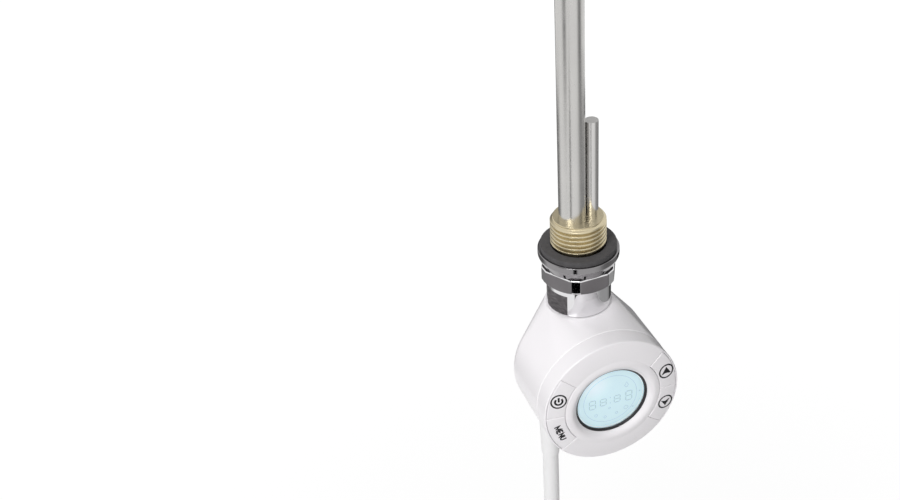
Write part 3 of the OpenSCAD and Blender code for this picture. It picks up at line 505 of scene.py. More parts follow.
def finish(name, row=None):
    """A finish of the table, or of a row like its own: a clouded colour over a moulded skin or, where its grain has
    three scales, over drawn metal. A glowing one may have a painted reflection, a paler patch of its glow."""
    if name in bpy.data.materials:
        return bpy.data.materials[name]
    tone, deep, cloud, low, high, height, grain, *more = row or FINISHES[name]
    tone = getattr(bpy.context.scene.element_colours, tone) if isinstance(tone, str) else tone
    sockets = dict(*more)
    made, tree, shader = fresh(name)
    spread = {"Scale": 1, "Stretch": cloud} if isinstance(cloud, tuple) else {"Scale": cloud}
    base = grouped(tree, "Clouded Tone", {"Tone": (*tone, 1), "Deep": (*(c * deep for c in tone), 1),
                                          **spread})["Colour"]
    drawn = isinstance(grain, tuple)
    sockets["Metallic"] = 1 if drawn else 0
    top = grouped(tree, "Drawn Metal" if drawn else "Moulded Skin",
                  {"Stretch" if drawn else "Scale": grain, "Height": height, "Low": low, "High": high})
    sockets.update({"Base Color": base, "Roughness": top["Roughness"], "Normal": top["Normal"]})
    if "Emission Strength" in sockets:
        sockets["Emission Color"] = base
    # Painted reflection: the glow turns paler near a point, in place of the window's soft reflection of light.
    if name in PAINTED_REFLECTION_PATCH:
        middle, reach, pale = PAINTED_REFLECTION_PATCH[name]
        off = add(tree, "VectorMath", {0: object_point(tree), 1: middle}, operation="DISTANCE")
        near = add(tree, "MapRange", {"Value": off.outputs["Value"], "From Max": reach, "To Min": 1, "To Max": 0},
                   interpolation_type="SMOOTHSTEP")
        mix = add(tree, "Mix", {0: near.outputs["Result"], 6: base, 7: (*pale, 1)}, data_type="RGBA")
        sockets["Emission Color"] = mix.outputs[2]
    join(tree, shader, sockets)
    return made


def clear_plastic():
    """Clear window: glass with faint smears in its polish."""
    made, tree, shader = fresh("Clear Window")
    top = grouped(tree, "Moulded Skin", {"Scale": 400, "Height": 0, "Low": 0, "High": 0.03})
    join(tree, shader, {"Roughness": top["Roughness"], "Base Color": (0.97, 0.995, 1.0, 1),
                        "Transmission Weight": 1, "IOR": 1.45})
    return made


def paint(name, nodes, row=None):
    """Gives CAD nodes a finish."""
    made = finish(name, row)
    for node in nodes.split():
        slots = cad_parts[node].material_slots
        if not slots:
            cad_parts[node].data.materials.append(made)
        for one in slots:
            one.material = made


# ---- operators ----

class Piece(bpy.types.Operator):
    """Base of the operators: hands the scene's sizes, in millimetres, to build"""

    bl_idname = "heating.piece"
    bl_label = "Piece"
    bl_options = {"REGISTER"}

    def execute(self, context):
        scene = context.scene
        self.build(*(in_mm(group) for group in (scene.collar_sizes, scene.head_sizes, scene.lead_sizes)))
        return {"FINISHED"}

    def build(self, collar, head, lead):
        raise RuntimeError("A piece has to say how it is built")


class MakeFitting(Piece):
    """Makes the threaded fitting, with a true helical thread"""

    bl_idname = "heating.fitting"
    bl_label = "Threaded Fitting"

    def build(self, collar, head, lead):
        """Radius = root + depth * ridge(height / pitch - turn), a rounded triangle with soft flanks."""
        top, shank, depth, steps = collar.thread_top, collar.shank_r, collar.thread_depth, 144
        a = round_angles(steps)
        z = np.linspace(0.0, top, 176)[:, None]
        wave = 0.5 + 0.5 * np.cos(TURN * z / collar.thread_pitch - a)
        ridge = np.clip(1.25 * wave**0.85 - 0.08, 0, 1)
        fade = np.clip((z - 0.35) / 0.5, 0, 1) * np.clip((top - 0.2 - z) / 0.9, 0, 1)
        lead_in = shank + depth - np.clip(z - (top - 1.3), 0, 2) * 0.8
        wall = wheel(np.minimum(shank + depth * ridge * fade, lead_in), a, z)
        inner, roof, low = shank - 1.6, 3.74, span("threaded_fitting")[0][2]
        lid = eased([(shank - 0.35, top), (shank - 0.6, top), (0.02, top)], 0.1)
        under = eased([(0.02, roof), (inner, roof), (inner, low), (shank, low), (shank, -0.02)], 0.25)
        points = np.concatenate([turned(under, steps), wall, turned(lid, steps)])
        put("fitting_thread", skin(points), ["Plated Brass"], "element", ["threaded_fitting"],
            smooth=50)


def cover_ring(collar):
    """A turned profile whose radius falls to the slot's floor where angle and height lie in a slot."""
    r, low_r, inner = collar.ring_r, collar.ring_low_r, collar.thread_r + 0.05
    floor, band = low_r - 0.7, SEAT_LOW - collar.ring_band
    slot_top, half = RING_LOW + collar.slot_h, collar.slot_w / 2
    edge = r + (low_r - r) * (slot_top - band) / (RING_LOW - band)
    profile = eased([(inner, SEAT_LOW), (r, SEAT_LOW), (r, band), (edge, slot_top), (low_r, RING_LOW),
                     (floor + 0.01, RING_LOW), (inner, RING_LOW)], [0.1, 0.3, 0.25, 0.02, 0.22, 0.02, 0.1],
                    closed=True)
    slots, mean_r, worn_edge, phase = 12, 14.2, 0.13, -np.pi / 2 - collar.slot_turn
    sector = TURN / slots
    beside = np.array([-3.55, -2.6, -1.6, -1.0, -0.3, -0.13, -0.06, 0.0]) - half
    near = np.concatenate([beside, [-half * 0.3, half * 0.3], -beside[::-1]])[:-1] / mean_r
    a = (np.arange(slots)[:, None] * sector + near + phase).reshape(1, -1)
    away = np.abs((a - phase + sector / 2) % sector - sector / 2) * mean_r - half
    rr, z = profile[:, :1], profile[:, 1:]
    cut = (away <= 1e-6) & (z < slot_top - 1e-4)
    worn = rr - edge_fall(away, worn_edge) * (z < slot_top)
    radius = np.where(rr > floor, np.where(cut, floor, worn), rr)
    # Painted shade: the faces of each slot's floor take the black rubber finish, in place of the shade deep in the
    # slot.
    inside = cut & (rr > floor)
    inside = inside | np.roll(inside, -1, 1)
    inside = inside | np.roll(inside, -1, 0)
    # The ring's chrome finish carries painted shade, a darkened tone.
    put("collar_ring", skin(wheel(radius, a, z), along=True), ["Smoked Chrome", "Black Rubber"], "element",
        ["cover_ring"], marks=inside.astype(np.int32), smooth=35)


def hexagon(collar):
    """Radius = the least of the flat's and the corner cut's distances, each over the cosine of the angle to
    it, and of the lower cone."""
    trim, low_r, inner = collar.nut_r, collar.nut_low_r, collar.shank_r + 0.02
    chamfer, edge, steps, polished_top, polished_half = collar.nut_chamfer, 0.12, 384, 0.36, 0.114
    corner, sixth = -np.pi / 2 - collar.nut_turn, TURN / 6
    a = round_angles(steps)
    to_flat = (a - corner) % sixth - sixth / 2
    to_corner = (a - corner + sixth / 2) % sixth - sixth / 2
    flat = soft_least(collar.nut_half / np.cos(to_flat), trim / np.cos(to_corner), 0.05)
    bend = np.linspace(np.pi / 2, 0, 4)
    z = np.concatenate([RING_LOW - np.array([0.0, 0.04, 0.33, 0.4]),
                        np.linspace(RING_LOW - 0.5, NUT_LOW + 0.25, 34),
                        NUT_LOW + edge * (1 - np.cos(bend))])[:, None]
    inset = np.concatenate([[0.28, 0.23, 0.04, 0.0], np.zeros(34), edge * (1 - np.sin(bend))])[:, None]
    cone = low_r + (trim - low_r) * (z - NUT_LOW) / chamfer
    wall = wheel(soft_least(flat, cone + 0 * a, 0.12) - inset, a, z)
    bore = turned(np.array([(inner, NUT_LOW), (inner, RING_LOW)]), steps)
    marks = np.zeros((len(z) + 2, steps), np.int32)
    marks[:-2] = (z > NUT_LOW + chamfer) & (np.abs(to_corner) < polished_half) | (z > RING_LOW - polished_top)
    put("collar_hexagon", skin(np.concatenate([wall, bore]), along=True), ["Satin Chrome", "Bright Chrome"],
        "element", ["hex_nut"], marks=marks, smooth=22)


def neck(collar):
    """A cylinder cut by two flats: radius = the least of the round and flat / cosine below the shoulder."""
    r, flat = collar.neck_r, collar.flat_half
    shoulder, foot = NUT_LOW - collar.shoulder, NECK_LOW + 0.36
    turn, wide = -np.pi / 2 - collar.flat_turn, math.acos(flat / r)
    spots = [turn + k * np.pi + s * (wide + e) for k in (0, 1) for s in (-1, 1)
             for e in (-0.02, -0.008, -0.003, 0.003, 0.008, 0.02)]
    a = np.sort(np.append(round_angles(300), np.array(spots) % TURN))[None, :]
    away = np.arccos(np.clip(np.abs(np.cos(a - turn)), 0, 1))
    cut = soft_least(r + 0 * a, flat / np.maximum(np.cos(away), 0.3), 0.06)
    z = np.concatenate([[NUT_LOW, NUT_LOW - 0.1], np.linspace(NUT_LOW - 0.4, shoulder + 0.15, 5),
                        shoulder + np.array([0.06, 0.001, -0.001, -0.05]),
                        np.linspace(shoulder - 0.2, foot + 0.14, 14),
                        [foot + 0.001, foot - 0.001, NECK_LOW + 0.08, NECK_LOW]])[:, None]
    inset = np.zeros(z.shape)
    inset[[0, -1]] = 0.1
    inset[[1, -2]] = 0.02
    wall = wheel(np.where((z < shoulder) & (z > foot), cut, r) - inset, a, z)
    tail, lap, step = span("neck_sleeve")[0][2], -31.55, -19.4
    rest = eased([(r - 0.3, NECK_LOW), (8.5, NECK_LOW), (8.5, lap), (7.2, lap), (7.2, tail), (6.0, tail),
                  (6.0, step), (9.33, step), (9.33, NUT_LOW)], 0.12)
    points = np.concatenate([wall, wheel(rest[:, :1], a, rest[:, 1:])])
    # The flats take a finish darkened as a painted reflection.
    on_flat = (np.roll(away, -1) + away) / 2 < wide - 0.004
    middle = (z[:-1] + z[1:]) / 2
    rows = (middle < shoulder - 0.0005) & (middle > foot + 0.0005)
    marks = np.zeros((len(points), a.size), np.int32)
    marks[: len(rows)] = rows & on_flat
    put("collar_neck", skin(points, along=True), ["Bright Chrome", "Machined Flat"], "element",
        ["neck_sleeve"], marks=marks, smooth=30)


class MakeCollar(Piece):
    """Makes the gasket, the slotted cover ring, the hexagon and the neck"""

    bl_idname = "heating.collar"
    bl_label = "Collar and Neck"

    def build(self, collar, head, lead):
        cover_ring(collar)
        hexagon(collar)
        neck(collar)
        paint("Fibre Gasket", "seat_gasket")
        paint("Black Rubber", "neck_seal journal_oring")
        paint("Spring Steel", "retaining_ring")


class FinishRod(Piece):
    """Finishes the heating rod and the water probe"""

    bl_idname = "heating.rod"
    bl_label = "Rod and Probe"

    def build(self, collar, head, lead):
        paint("Drawn Stainless", "heater_sheath")
        paint("Pocket Steel", "sensor_pocket")


def housing_grid(head):
    """The convex hull of a rounded drum about Y and a round lip about Z, sought along rays from their centre.

    The grid lines are the circles that planes through one line cut from the sphere of directions: the
    first is the lip's cone and the last the seam's. A ray ends on the drum or the lip where the
    tangent plane there clears the other one, and otherwise on the nearest plane that touches both.
    """
    R, F, B, e, rim = head.head_r, head.seam_f, head.back_r, head.seam_edge, head.lip
    rows, cols, compass, halvings, nowhere = 130, 300, 1500, 48, 1e9
    lip_r, H = head.fairing_r - rim, BOSS_TOP - HEAD_Z

    def drum_reach(n):
        m = np.hypot(n[..., 0], n[..., 2])
        return np.maximum((R - e) * m - (F - e) * n[..., 1] + e, (R - B) * m + B)

    def lip_reach(n):
        return (H - rim) * n[..., 2] + lip_r * np.hypot(n[..., 0], n[..., 1]) + rim

    lip_cone, seam_cone = math.atan2(lip_r, H), math.atan2(R - e, F)
    tilt = (0.5 - 0.5 * np.cos(np.linspace(0, np.pi, rows))) * np.pi / 2
    lean, slope = np.cos(tilt)[:, None], np.sin(tilt)[:, None]
    depth = lean * math.cos(lip_cone) - slope * math.cos(seam_cone)
    size, w = np.sqrt(1 - depth**2), round_angles(cols)
    rays = np.stack([size * np.cos(w), slope * depth + size * lean * np.sin(w),
                     lean * depth - size * slope * np.sin(w)], axis=-1).reshape(-1, 3)
    # planes that touch both: for each compass angle, halve the interval of slopes
    first = math.acos(min(1.0, (lip_r + 0.02) / (F - e)))
    turn = first + (np.pi - first) * np.linspace(0, 1, compass)[1:] ** 2.2
    low, high = np.full_like(turn, 1e-5 - np.pi / 2), np.full_like(turn, np.pi / 2 - 1e-5)
    for _ in range(halvings):
        mid = (low + high) / 2
        n = np.stack([np.cos(mid) * np.sin(turn), -np.cos(mid) * np.cos(turn), np.sin(mid)], axis=-1)
        above = drum_reach(n) > lip_reach(n)
        low, high = np.where(above, mid, low), np.where(above, high, mid)
    n = np.concatenate([n, n * np.array([-1, 1, 1]), [[0, 0, 1.0]]])
    reach = np.maximum(drum_reach(n), lip_reach(n))
    planes = np.full(len(rays), nowhere)
    for part in np.array_split(np.arange(len(n)), 24):
        facing = rays @ n[part].T
        ends = np.where(facing > 1e-4, reach[part] / np.maximum(facing, 1e-4), nowhere)
        planes = np.minimum(planes, ends.min(axis=1))
    # the drum itself, and its normal there
    m, y = np.hypot(rays[:, 0], rays[:, 2]), rays[:, 1]
    side, flat = R / np.maximum(m, 1e-9), B / np.maximum(y, 1e-9)
    front = (R - e) * m - (F - e) * y
    front += np.sqrt(np.clip(e**2 - ((R - e) * y + (F - e) * m) ** 2, 0, None))
    back = (R - B) * m + np.sqrt(np.clip(B**2 - ((R - B) * y) ** 2, 0, None))
    t = np.where(y <= 0, np.where(side * -y <= F - e, side, front), np.where(flat * m <= R - B, flat, back))
    hit = rays * t[:, None]
    hub = np.stack([rays[:, 0] / m, 0 * m, rays[:, 2] / m], axis=-1)
    heart = hub * (R - B)
    for where, centre in ((hit[:, 1] < -(F - e), hub * (R - e) - [0, F - e, 0]),
                          ((hit[:, 1] <= 0) & (hit[:, 1] >= -(F - e)), hit - hub),
                          ((flat * m <= R - B) & (y > 0), hit - [0, 1.0, 0])):
        heart = np.where(where[:, None], centre, heart)
    normal = unit(hit - heart)
    on_drum = drum_reach(normal) >= lip_reach(normal) - 1e-9
    # the lip itself
    across = np.hypot(rays[:, 0], rays[:, 1])
    miss = lip_r * rays[:, 2] - (H - rim) * across
    at_lip = lip_r * across + (H - rim) * rays[:, 2] + np.sqrt(np.clip(rim**2 - miss**2, 0, None))
    off = unit(rays * at_lip[:, None] - unit(rays * [1, 1, 0]) * lip_r - [0, 0, H - rim])
    on_lip = (np.abs(miss) < rim) & (lip_reach(off) >= drum_reach(off)) & (rays[:, 2] > 0)
    far = np.where(on_lip, at_lip, np.where(on_drum, t, planes))
    body = (rays * far[:, None]).reshape(rows, cols, 3)
    top = body[0] * [1, 1, 0] * np.array([0.66, 0.9, 0.97])[:, None, None] + [0, 0, H]
    inward = np.array([1 - 0.1 / R, 1 - head.wall / R])[:, None, None] * (body[-1] * [1, 0, 1]) - [0, F, 0]
    return np.concatenate([top, body, inward]) + [0, 0, HEAD_Z]


class MakeShell(Piece):
    """Makes the teardrop housing round the drum and the neck's fairing"""

    bl_idname = "heating.shell"
    bl_label = "Housing"

    def build(self, collar, head, lead):
        piece = put("head_housing", skin(housing_grid(head)), ["Housing White"], "head",
                    ["body_shell"], smooth=60)
        thick = piece.modifiers.new("Wall", "SOLIDIFY")
        thick.thickness = head.wall * MM * 0.55
        thick.offset = -1


def face_height(head, r):
    """Height of the face in front of the rim plane: a sine up to the crest, a cosine down to the foot, then
    a dome that falls to nothing at the rim as 1 - x^1.6."""
    rising = np.clip((r - head.opening_r) / (head.crest_r - head.opening_r), -1, 1)
    rise = (head.dome + head.crest + head.opening_drop) * np.sin(np.pi / 2 * rising) - head.opening_drop
    falling = np.clip((r - head.crest_r) / (head.foot_r - head.crest_r), 0, 1)
    fall = head.dome + head.crest * np.cos(np.pi / 2 * falling)
    outward = np.clip((r - head.foot_r) / (head.head_r - head.rim_r - head.foot_r), 0, 1)
    return np.where(r < head.crest_r, rise, np.where(r < head.foot_r, fall, head.dome * (1 - outward**1.6)))


def edge_fall(away, r):
    """Fall of a rounded edge at a distance from it: r - sqrt(r^2 - (r - x)^2)."""
    x = np.clip(away, 0, r)
    return r - np.sqrt(np.clip(r * r - (r - x) ** 2, 0, None))


def on_disc(r, a, f):
    """Points of the head's frame at a radius and an angle."""
    return on_face(r * np.cos(a), r * np.sin(a), f + 0 * a)


class MakeFace(Piece):
    """Makes the face with its ridge and the four button openings"""

    bl_idname = "heating.face"
    bl_label = "Face"

    def build(self, collar, head, lead):
        """Height = rim plane + face height - edge fall near an opening - recess inside it, over radius and angle."""
        R, F, S = head.head_r, head.face_f, head.seam_f
        rim, foot, open_r = head.rim_r, head.foot_r, head.opening_r
        outer, half, edge = R - head.button_rim, head.pair_half, 0.3
        near = np.array([-1.7, -1.0, -0.7, -0.45, -0.25, -0.1, -0.004, 0.004, 1.5]) * edge
        face_r = np.concatenate([np.linspace(R - rim, foot, 22), foot + near, outer - near,
                                 np.linspace(foot, open_r + 0.16, 30)])
        face_r = np.unique(np.round(face_r[face_r < R - rim + 1e-6], 4))[::-1]
        edges = [c + s * (half - near / KEYS_R) for c in (0, np.pi) for s in (-1, 1)]
        a = np.concatenate([round_angles(240)[0], *edges])
        a = np.unique(np.round(a % TURN, 5))[None, :]
        bend = np.linspace(0, np.pi / 2, 8)[:-1]
        r = np.concatenate([R - rim * (1 - np.cos(bend)), face_r])[:, None]
        f = np.concatenate([F - rim * (1 - np.sin(bend)), F + face_height(head, face_r)])[:, None]
        swing = np.abs((a + np.pi / 2) % np.pi - np.pi / 2)
        out = np.hypot(np.maximum(np.maximum(foot - r, r - outer), 0), np.maximum(r * (swing - half), 0))
        inside = (r > foot) & (r < outer) & (swing < half)
        f = np.where(inside, np.minimum(f - 1.9, F - 1.3), f - edge_fall(out, edge))
        seam, step = head.seam_r, head.seam_step
        cup = R - step
        band = [(R - 2, S), (cup - seam - 0.15, S), (cup - seam, S), (cup - 0.3 * seam, S + 0.3 * seam),
                (cup, S + seam), (cup + 0.04 * step, S + 2 * seam), (cup + 0.45 * step, S + 2.5),
                (R - 0.1 * step, F - rim - 2.0), (R, F - rim - 0.2)]
        bend, q = np.linspace(0, np.pi / 2, 6)[1:], 0.16
        bore_top = F + face_height(head, open_r + q)
        lip = [(open_r + q * (1 - np.sin(t)), bore_top - q * (1 - np.cos(t))) for t in bend]
        bore = [(open_r, bore_top - 0.4), (open_r, WINDOW_F - 0.4), (open_r + 1.2, WINDOW_F - 1.2),
                (open_r + 1.2, F - 2.9), (R - 2, F - 2.9), (R - 2, S + 3.0)]
        band, bore = (on_disc(part[:, :1], a, part[:, 1:]) for part in (np.array(band), np.array(lip + bore)))
        put("head_face", skin(np.concatenate([band, on_disc(r, a, f), bore]), along=True), ["White Face"], "head",
            ["front_bezel"], smooth=42)


def key_cap(head, name, middle):
    """A plate over radius and angle: height = face height - edge fall, with straight sides below."""
    gap, edge, wide = head.button_gap, head.button_edge, head.pair_half
    r0, r1 = head.foot_r + gap, head.head_r - head.button_rim - gap
    near = np.array([0, 0.04, 0.15, 0.33, 0.6, 1.0, 1.7]) * edge
    r = np.concatenate([r0 + near, np.linspace(r0 + 0.6, r1 - 0.6, 16), (r1 - near)[::-1]])[:, None]
    u = np.concatenate([near / KEYS_R, np.linspace(0.04, wide - 0.04, 26), (wide - near / KEYS_R)[::-1]])
    slack = gap / 2 / r
    a = middle - wide / 2 + slack + u / wide * (wide - 2 * slack)
    away = np.minimum(np.minimum(r - r0, r1 - r), r * np.minimum(u, wide - u))
    f = head.face_f + face_height(head, r) - edge_fall(away, edge)
    top, under = (np.moveaxis(on_disc(r, a, height), 0, 1) for height in (f, head.face_f - 0.75))
    put(f"{name}_cap", slab(top, under), ["Button White"], f"{name}_key", [f"{name}_button"],
        smooth=42)


def letters(head, high, low):
    """Letters of even strokes set along the button, tops toward the display.

    A point (x, y) of a letter, in letter heights, becomes start + x * along + y * up.
    """
    bend = ring_path(0.31, 0.31, 0.31, 9, np.pi, TURN)
    strokes = [
        (0.0, [(0, 0), (0, 1), (0.45, 0.26), (0.9, 1), (0.9, 0)]),
        (1.22, [(0.52, 0), (0, 0), (0, 1), (0.52, 1)]),
        (1.22, [(0.1, 0.5), (0.46, 0.5)]),
        (2.04, [(0, 0), (0, 1), (0.62, 0), (0.62, 1)]),
        (2.96, [(0, 1), *bend.tolist(), (0.62, 1)]),
    ]
    word, width = 3.58, 0.58
    start, stop = np.array([-23.05, -4.24]), np.array([-20.12, -11.76])
    along = unit(stop - start)
    up = np.array([-along[1], along[0]])
    tall = head.letter_h - width
    step = (np.linalg.norm(stop - start) - width) / word
    origin = (start + stop) / 2 - along * step * word / 2 - up * tall / 2
    lines = []
    for shift, path in strokes:
        path = np.array(path, float)
        far = run_length(path)
        x, y = at_lengths(path, np.union1d(far, np.linspace(0, far[-1], 14))).T[..., None]
        lines.append(ribbon(origin + (shift + x) * step * along + y * tall * up, width, high, low))
    put("menu_letters", lines, ["Print Black"], "menu_key")


class MakeButtons(Piece):
    """Makes the four buttons, flush with the face, and their printed icons"""

    bl_idname = "heating.buttons"
    bl_label = "Buttons"

    def build(self, collar, head, lead):
        half = math.degrees(head.pair_half) / 2
        for name, middle in (("up", half), ("down", -half), ("menu", 180 + half), ("power", 180 - half)):
            key_cap(head, name, math.radians(middle))
        rim, ink_top, ink_depth = head.head_r - head.button_rim - head.button_gap, 0.028, 0.07

        def high(p):
            r = np.hypot(p[:, 0], p[:, 1])
            return head.face_f + face_height(head, r) - edge_fall(rim - r, head.button_edge) + ink_top

        def low(p):
            return high(p) - ink_depth

        def ringed(name, x, z, *inner):
            ring = ribbon(ring_path(x, z, size), line, high, low, closed=True)
            put(f"{name}_icon", [ring, *inner], ["Print Black"], f"{name}_key")

        size, line = head.icon_r, head.icon_line
        x, z, gap = -21.97, 7.83, math.radians(44)
        arc = ring_path(x, z, size * 0.49, 40, np.pi / 2 + gap, np.pi * 2.5 - gap)
        ringed("power", x, z, ribbon(arc, line * 1.3, high, low),
               ribbon([(x, z + size * 0.63), (x, z - size * 0.08)], line * 1.25, high, low))
        u, v = np.meshgrid(np.linspace(0.02, 1, 9), np.linspace(-1, 1, 9), indexing="ij")
        for name, x, z, way in (("up", 22.06, 7.85, 1.0), ("down", 22.2, -7.47, -1.0)):
            px = (x + size * 0.7 * u * v).ravel()
            pz = (z + way * size * (0.68 - u * (0.78 + 0.32 * np.abs(v)))).ravel()
            arrow = (on_face(px, pz, side(np.stack([px, pz], axis=1))).reshape(9, 9, 3) for side in (high, low))
            ringed(name, x, z, slab(*arrow))
        letters(head, high, low)


def print_line(path, width):
    """A closed printed line on the panel."""
    return ribbon(path, width, lambda p: PRINT_TOP, lambda p: PRINT_FOOT, closed=True)


def print_plate(grid):
    """A flat print on the panel over a grid of (x, z)."""
    return slab(*(on_face(grid[..., 0], grid[..., 1], f) for f in (PRINT_TOP, PRINT_FOOT)))


def segments():
    """Seven bars a digit, each a hexagon between two points, cut to taper at its ends."""
    prints = []
    along = np.array([0.06, 0.14, 0.86, 0.94])[:, None]
    wide = np.array([0.05, 1, 1, 0.05])[:, None] * 0.42 / 2
    for x, w, h in ((-7.3, 2.5, 4.1), (-2.8, 2.4, 3.2), (2.95, 2.4, 3.2), (7.8, 2.5, 4.5)):
        left, right, mid = x - w / 2, x + w / 2, -1.15
        top, foot = mid + h / 2, mid - h / 2
        for p, q in (((left, top), (right, top)), ((left, mid), (right, mid)), ((left, foot), (right, foot)),
                     ((left, mid), (left, top)), ((right, mid), (right, top)), ((left, foot), (left, mid)),
                     ((right, foot), (right, mid))):
            p, q = np.array(p), np.array(q)
            side = unit(q - p)[::-1] * [-1, 1]
            middle = p + (q - p) * along
            prints.append(print_plate(np.stack([middle + side * wide, middle - side * wide], axis=1)))
    for z in (0.1, -2.6):
        prints.append(print_plate(np.array([[(-0.1, z), (0.3, z)], [(-0.1, z + 0.45), (0.3, z + 0.45)]])))
    prints.append(print_line(ring_path(0.1, -0.3, 11.0, 128), 0.17))
    prints.append(print_line([(6.8, 6.0), (6.0, 4.3), (6.3, 3.5), (7.2, 3.5), (7.5, 4.3)], 0.24))
    for x, z, r in ((6.7, -6.8, 0.85), (2.8, -8.2, 0.5), (-0.2, -4.9, 0.4), (-5.8, -6.9, 0.6), (-2.0, -8.8, 0.55),
                    (9.5, -7.3, 0.3), (12.3, -0.35, 0.25)):
        prints.append(print_line(ring_path(x, z, r, 24), 0.2))
    return prints


class MakeDisplay(Piece):
    """Makes the dark ring, the window and the lit display with its unlit segments"""

    bl_idname = "heating.display"
    bl_label = "Display"

    def build(self, collar, head, lead):
        open_r, see, edge = head.opening_r - 0.02, head.display_r, 14.37
        top, foot = head.face_f - head.opening_drop, WINDOW_F + 0.02
        ring = eased([(see, foot), (see, foot + 0.18), (open_r - 0.25, top - 0.1), (open_r, top - 0.16),
                      (open_r, foot)], [0.05, 0.1, 0.12, 0.05, 0.05], closed=True)
        put("display_ring", skin(turned(ring, 192, True), along=True), ["Display Ring"], "head",
            ["display_gasket"])
        pane = eased([(0.0, WINDOW_F), (edge - 0.35, WINDOW_F), (edge, WINDOW_F - 0.35), (edge, WINDOW_F - 1.2),
                      (0.0, WINDOW_F - 1.2)], 0.05)
        clear_plastic()
        put("display_pane", skin(turned(pane, 192, True)), ["Clear Window"], "head",
            ["display_window"])
        sheet = eased([(0.0, PANEL_F), (edge - 0.1, PANEL_F), (edge - 0.1, PANEL_F - 1.9), (0.0, PANEL_F - 1.9)], 0.1)
        put("display_panel", skin(turned(sheet, 192, True)), ["Lit Display"], "head", ["lcd_panel"])
        put("display_segments", segments(), ["Display Segment"], "head", smooth=30)
        # Painted highlight: a glowing pale line round the display, in place of the light caught by the window's
        # chamfer.
        put("display_rim", print_line(ring_path(0.0, 0.0, 13.66, 192), 0.24), ["Display Rim"], "head",
            smooth=30)


def lead_path(lead):
    """One run of lead. Each leg of the hank eases its x and y with a half cosine between heights, and half
    circles join the legs at the top and the bottom."""
    r, waist, clear, pitch = lead.loop_r, lead.waist, 0.25, 1.9
    reach = (HANK_TOP - HANK_LOW) / 2 - lead.cord_d / 2 - clear - r

    def ease(z, z0, z1, a, b):
        return a + (b - a) * (0.5 - 0.5 * np.cos(np.pi * np.clip((z - z0) / (z1 - z0), 0, 1)))

    def leg(x, y, z):
        run.append(np.stack([x, y + 0 * z, z], axis=1))

    layers = np.array([-2, -1, 1, 2]) * lead.layer
    down, arc = np.linspace(reach, -reach, 40), np.linspace(0, np.pi, 32)[1:-1]
    up = down[::-1]
    run = []
    z = np.linspace(BOOT_LOW - HANK_Z, -reach, 110)
    leg(ease(z, 20, -reach, 0, -r), ease(z, 50, 10, 0, layers[0]), z)
    shifts = ((reach, 0), (reach, -reach), (0, -reach))
    for k, y in enumerate(layers):
        leg(-r * np.cos(arc), y, -reach - r * np.sin(arc))
        leg(np.where(up < 0, ease(up, -reach, 0, r, waist), ease(up, 0, reach, waist, r)), y, up)
        leg(r * np.cos(arc), y, reach + r * np.sin(arc))
        if k < 3:
            x = np.where(down > 0, ease(down, reach, 0, -r, -waist), ease(down, 0, -reach, -waist, -r))
            leg(x, ease(down, *shifts[k], y, layers[k + 1]), down)
    z = np.linspace(reach, PLUG_TOP - HANK_Z - 3.0, 90)
    leg(ease(z, reach, -20, -r, 0), ease(z, -10, -50, layers[3], 0), z)
    line = np.concatenate(run) + [LEAD_X, LEAD_Y, HANK_Z]
    whole = run_length(line)[-1]
    return at_lengths(line, np.linspace(0, whole, int(whole / pitch)))


def hank_tie(lead):
    """A band swept round a squared oval, |x/a|^5 + |y/b|^5 = 1."""
    a = round_angles(160)
    bulge = (np.abs(np.cos(a)) ** 5 + np.abs(np.sin(a)) ** 5) ** (-1 / 5)
    half = lead.tie_h / 2
    section = eased([(0, -half), (lead.tie_t, -half), (lead.tie_t, half), (0, half)], 0.3, closed=True)
    off, z = section[:, :1], section[:, 1:]
    band = np.stack([(lead.tie_x + off) * np.cos(a) * bulge + LEAD_X,
                     (lead.tie_y + off) * np.sin(a) * bulge + LEAD_Y, HANK_Z + z + 0 * a], axis=-1)
    return put("hank_band", skin(band, along=True), ["Tie Band"], "head", ["hank_tie"])


class MakeLead(Piece):
    """Makes the strain relief, the mains lead in its hank, and the tie"""

    bl_idname = "heating.lead"
    bl_label = "Mains Lead"

    def build(self, collar, head, lead):
        top = BOOT_LOW + 29.0
        boot = eased([(0.02, BOOT_LOW), (3.6, BOOT_LOW), (3.85, BOOT_LOW + 9.0), (4.28, BOOT_LOW + 20.0), (4.28, top),
                      (0.02, top)], [0.05, 0.5, 2.5, 2.5, 0.1, 0.05], 5)
        put("lead_boot", skin(turned(boot, 96, middle=(LEAD_X, LEAD_Y, 0))), ["Lead Sheath"], "head",
            ["cord_boot"])
        line = lead_path(lead)
        cord = put("mains_lead", swept(line, lead.cord_d / 2, 20), ["Lead Sheath"], "head",
                   ["mains_cord", "cord_hank"])
        tie = hank_tie(lead)
        paint("Pin Nickel", "plug_contacts")
        paint("Plug Plastic", "plug_body")
        line = line * MM


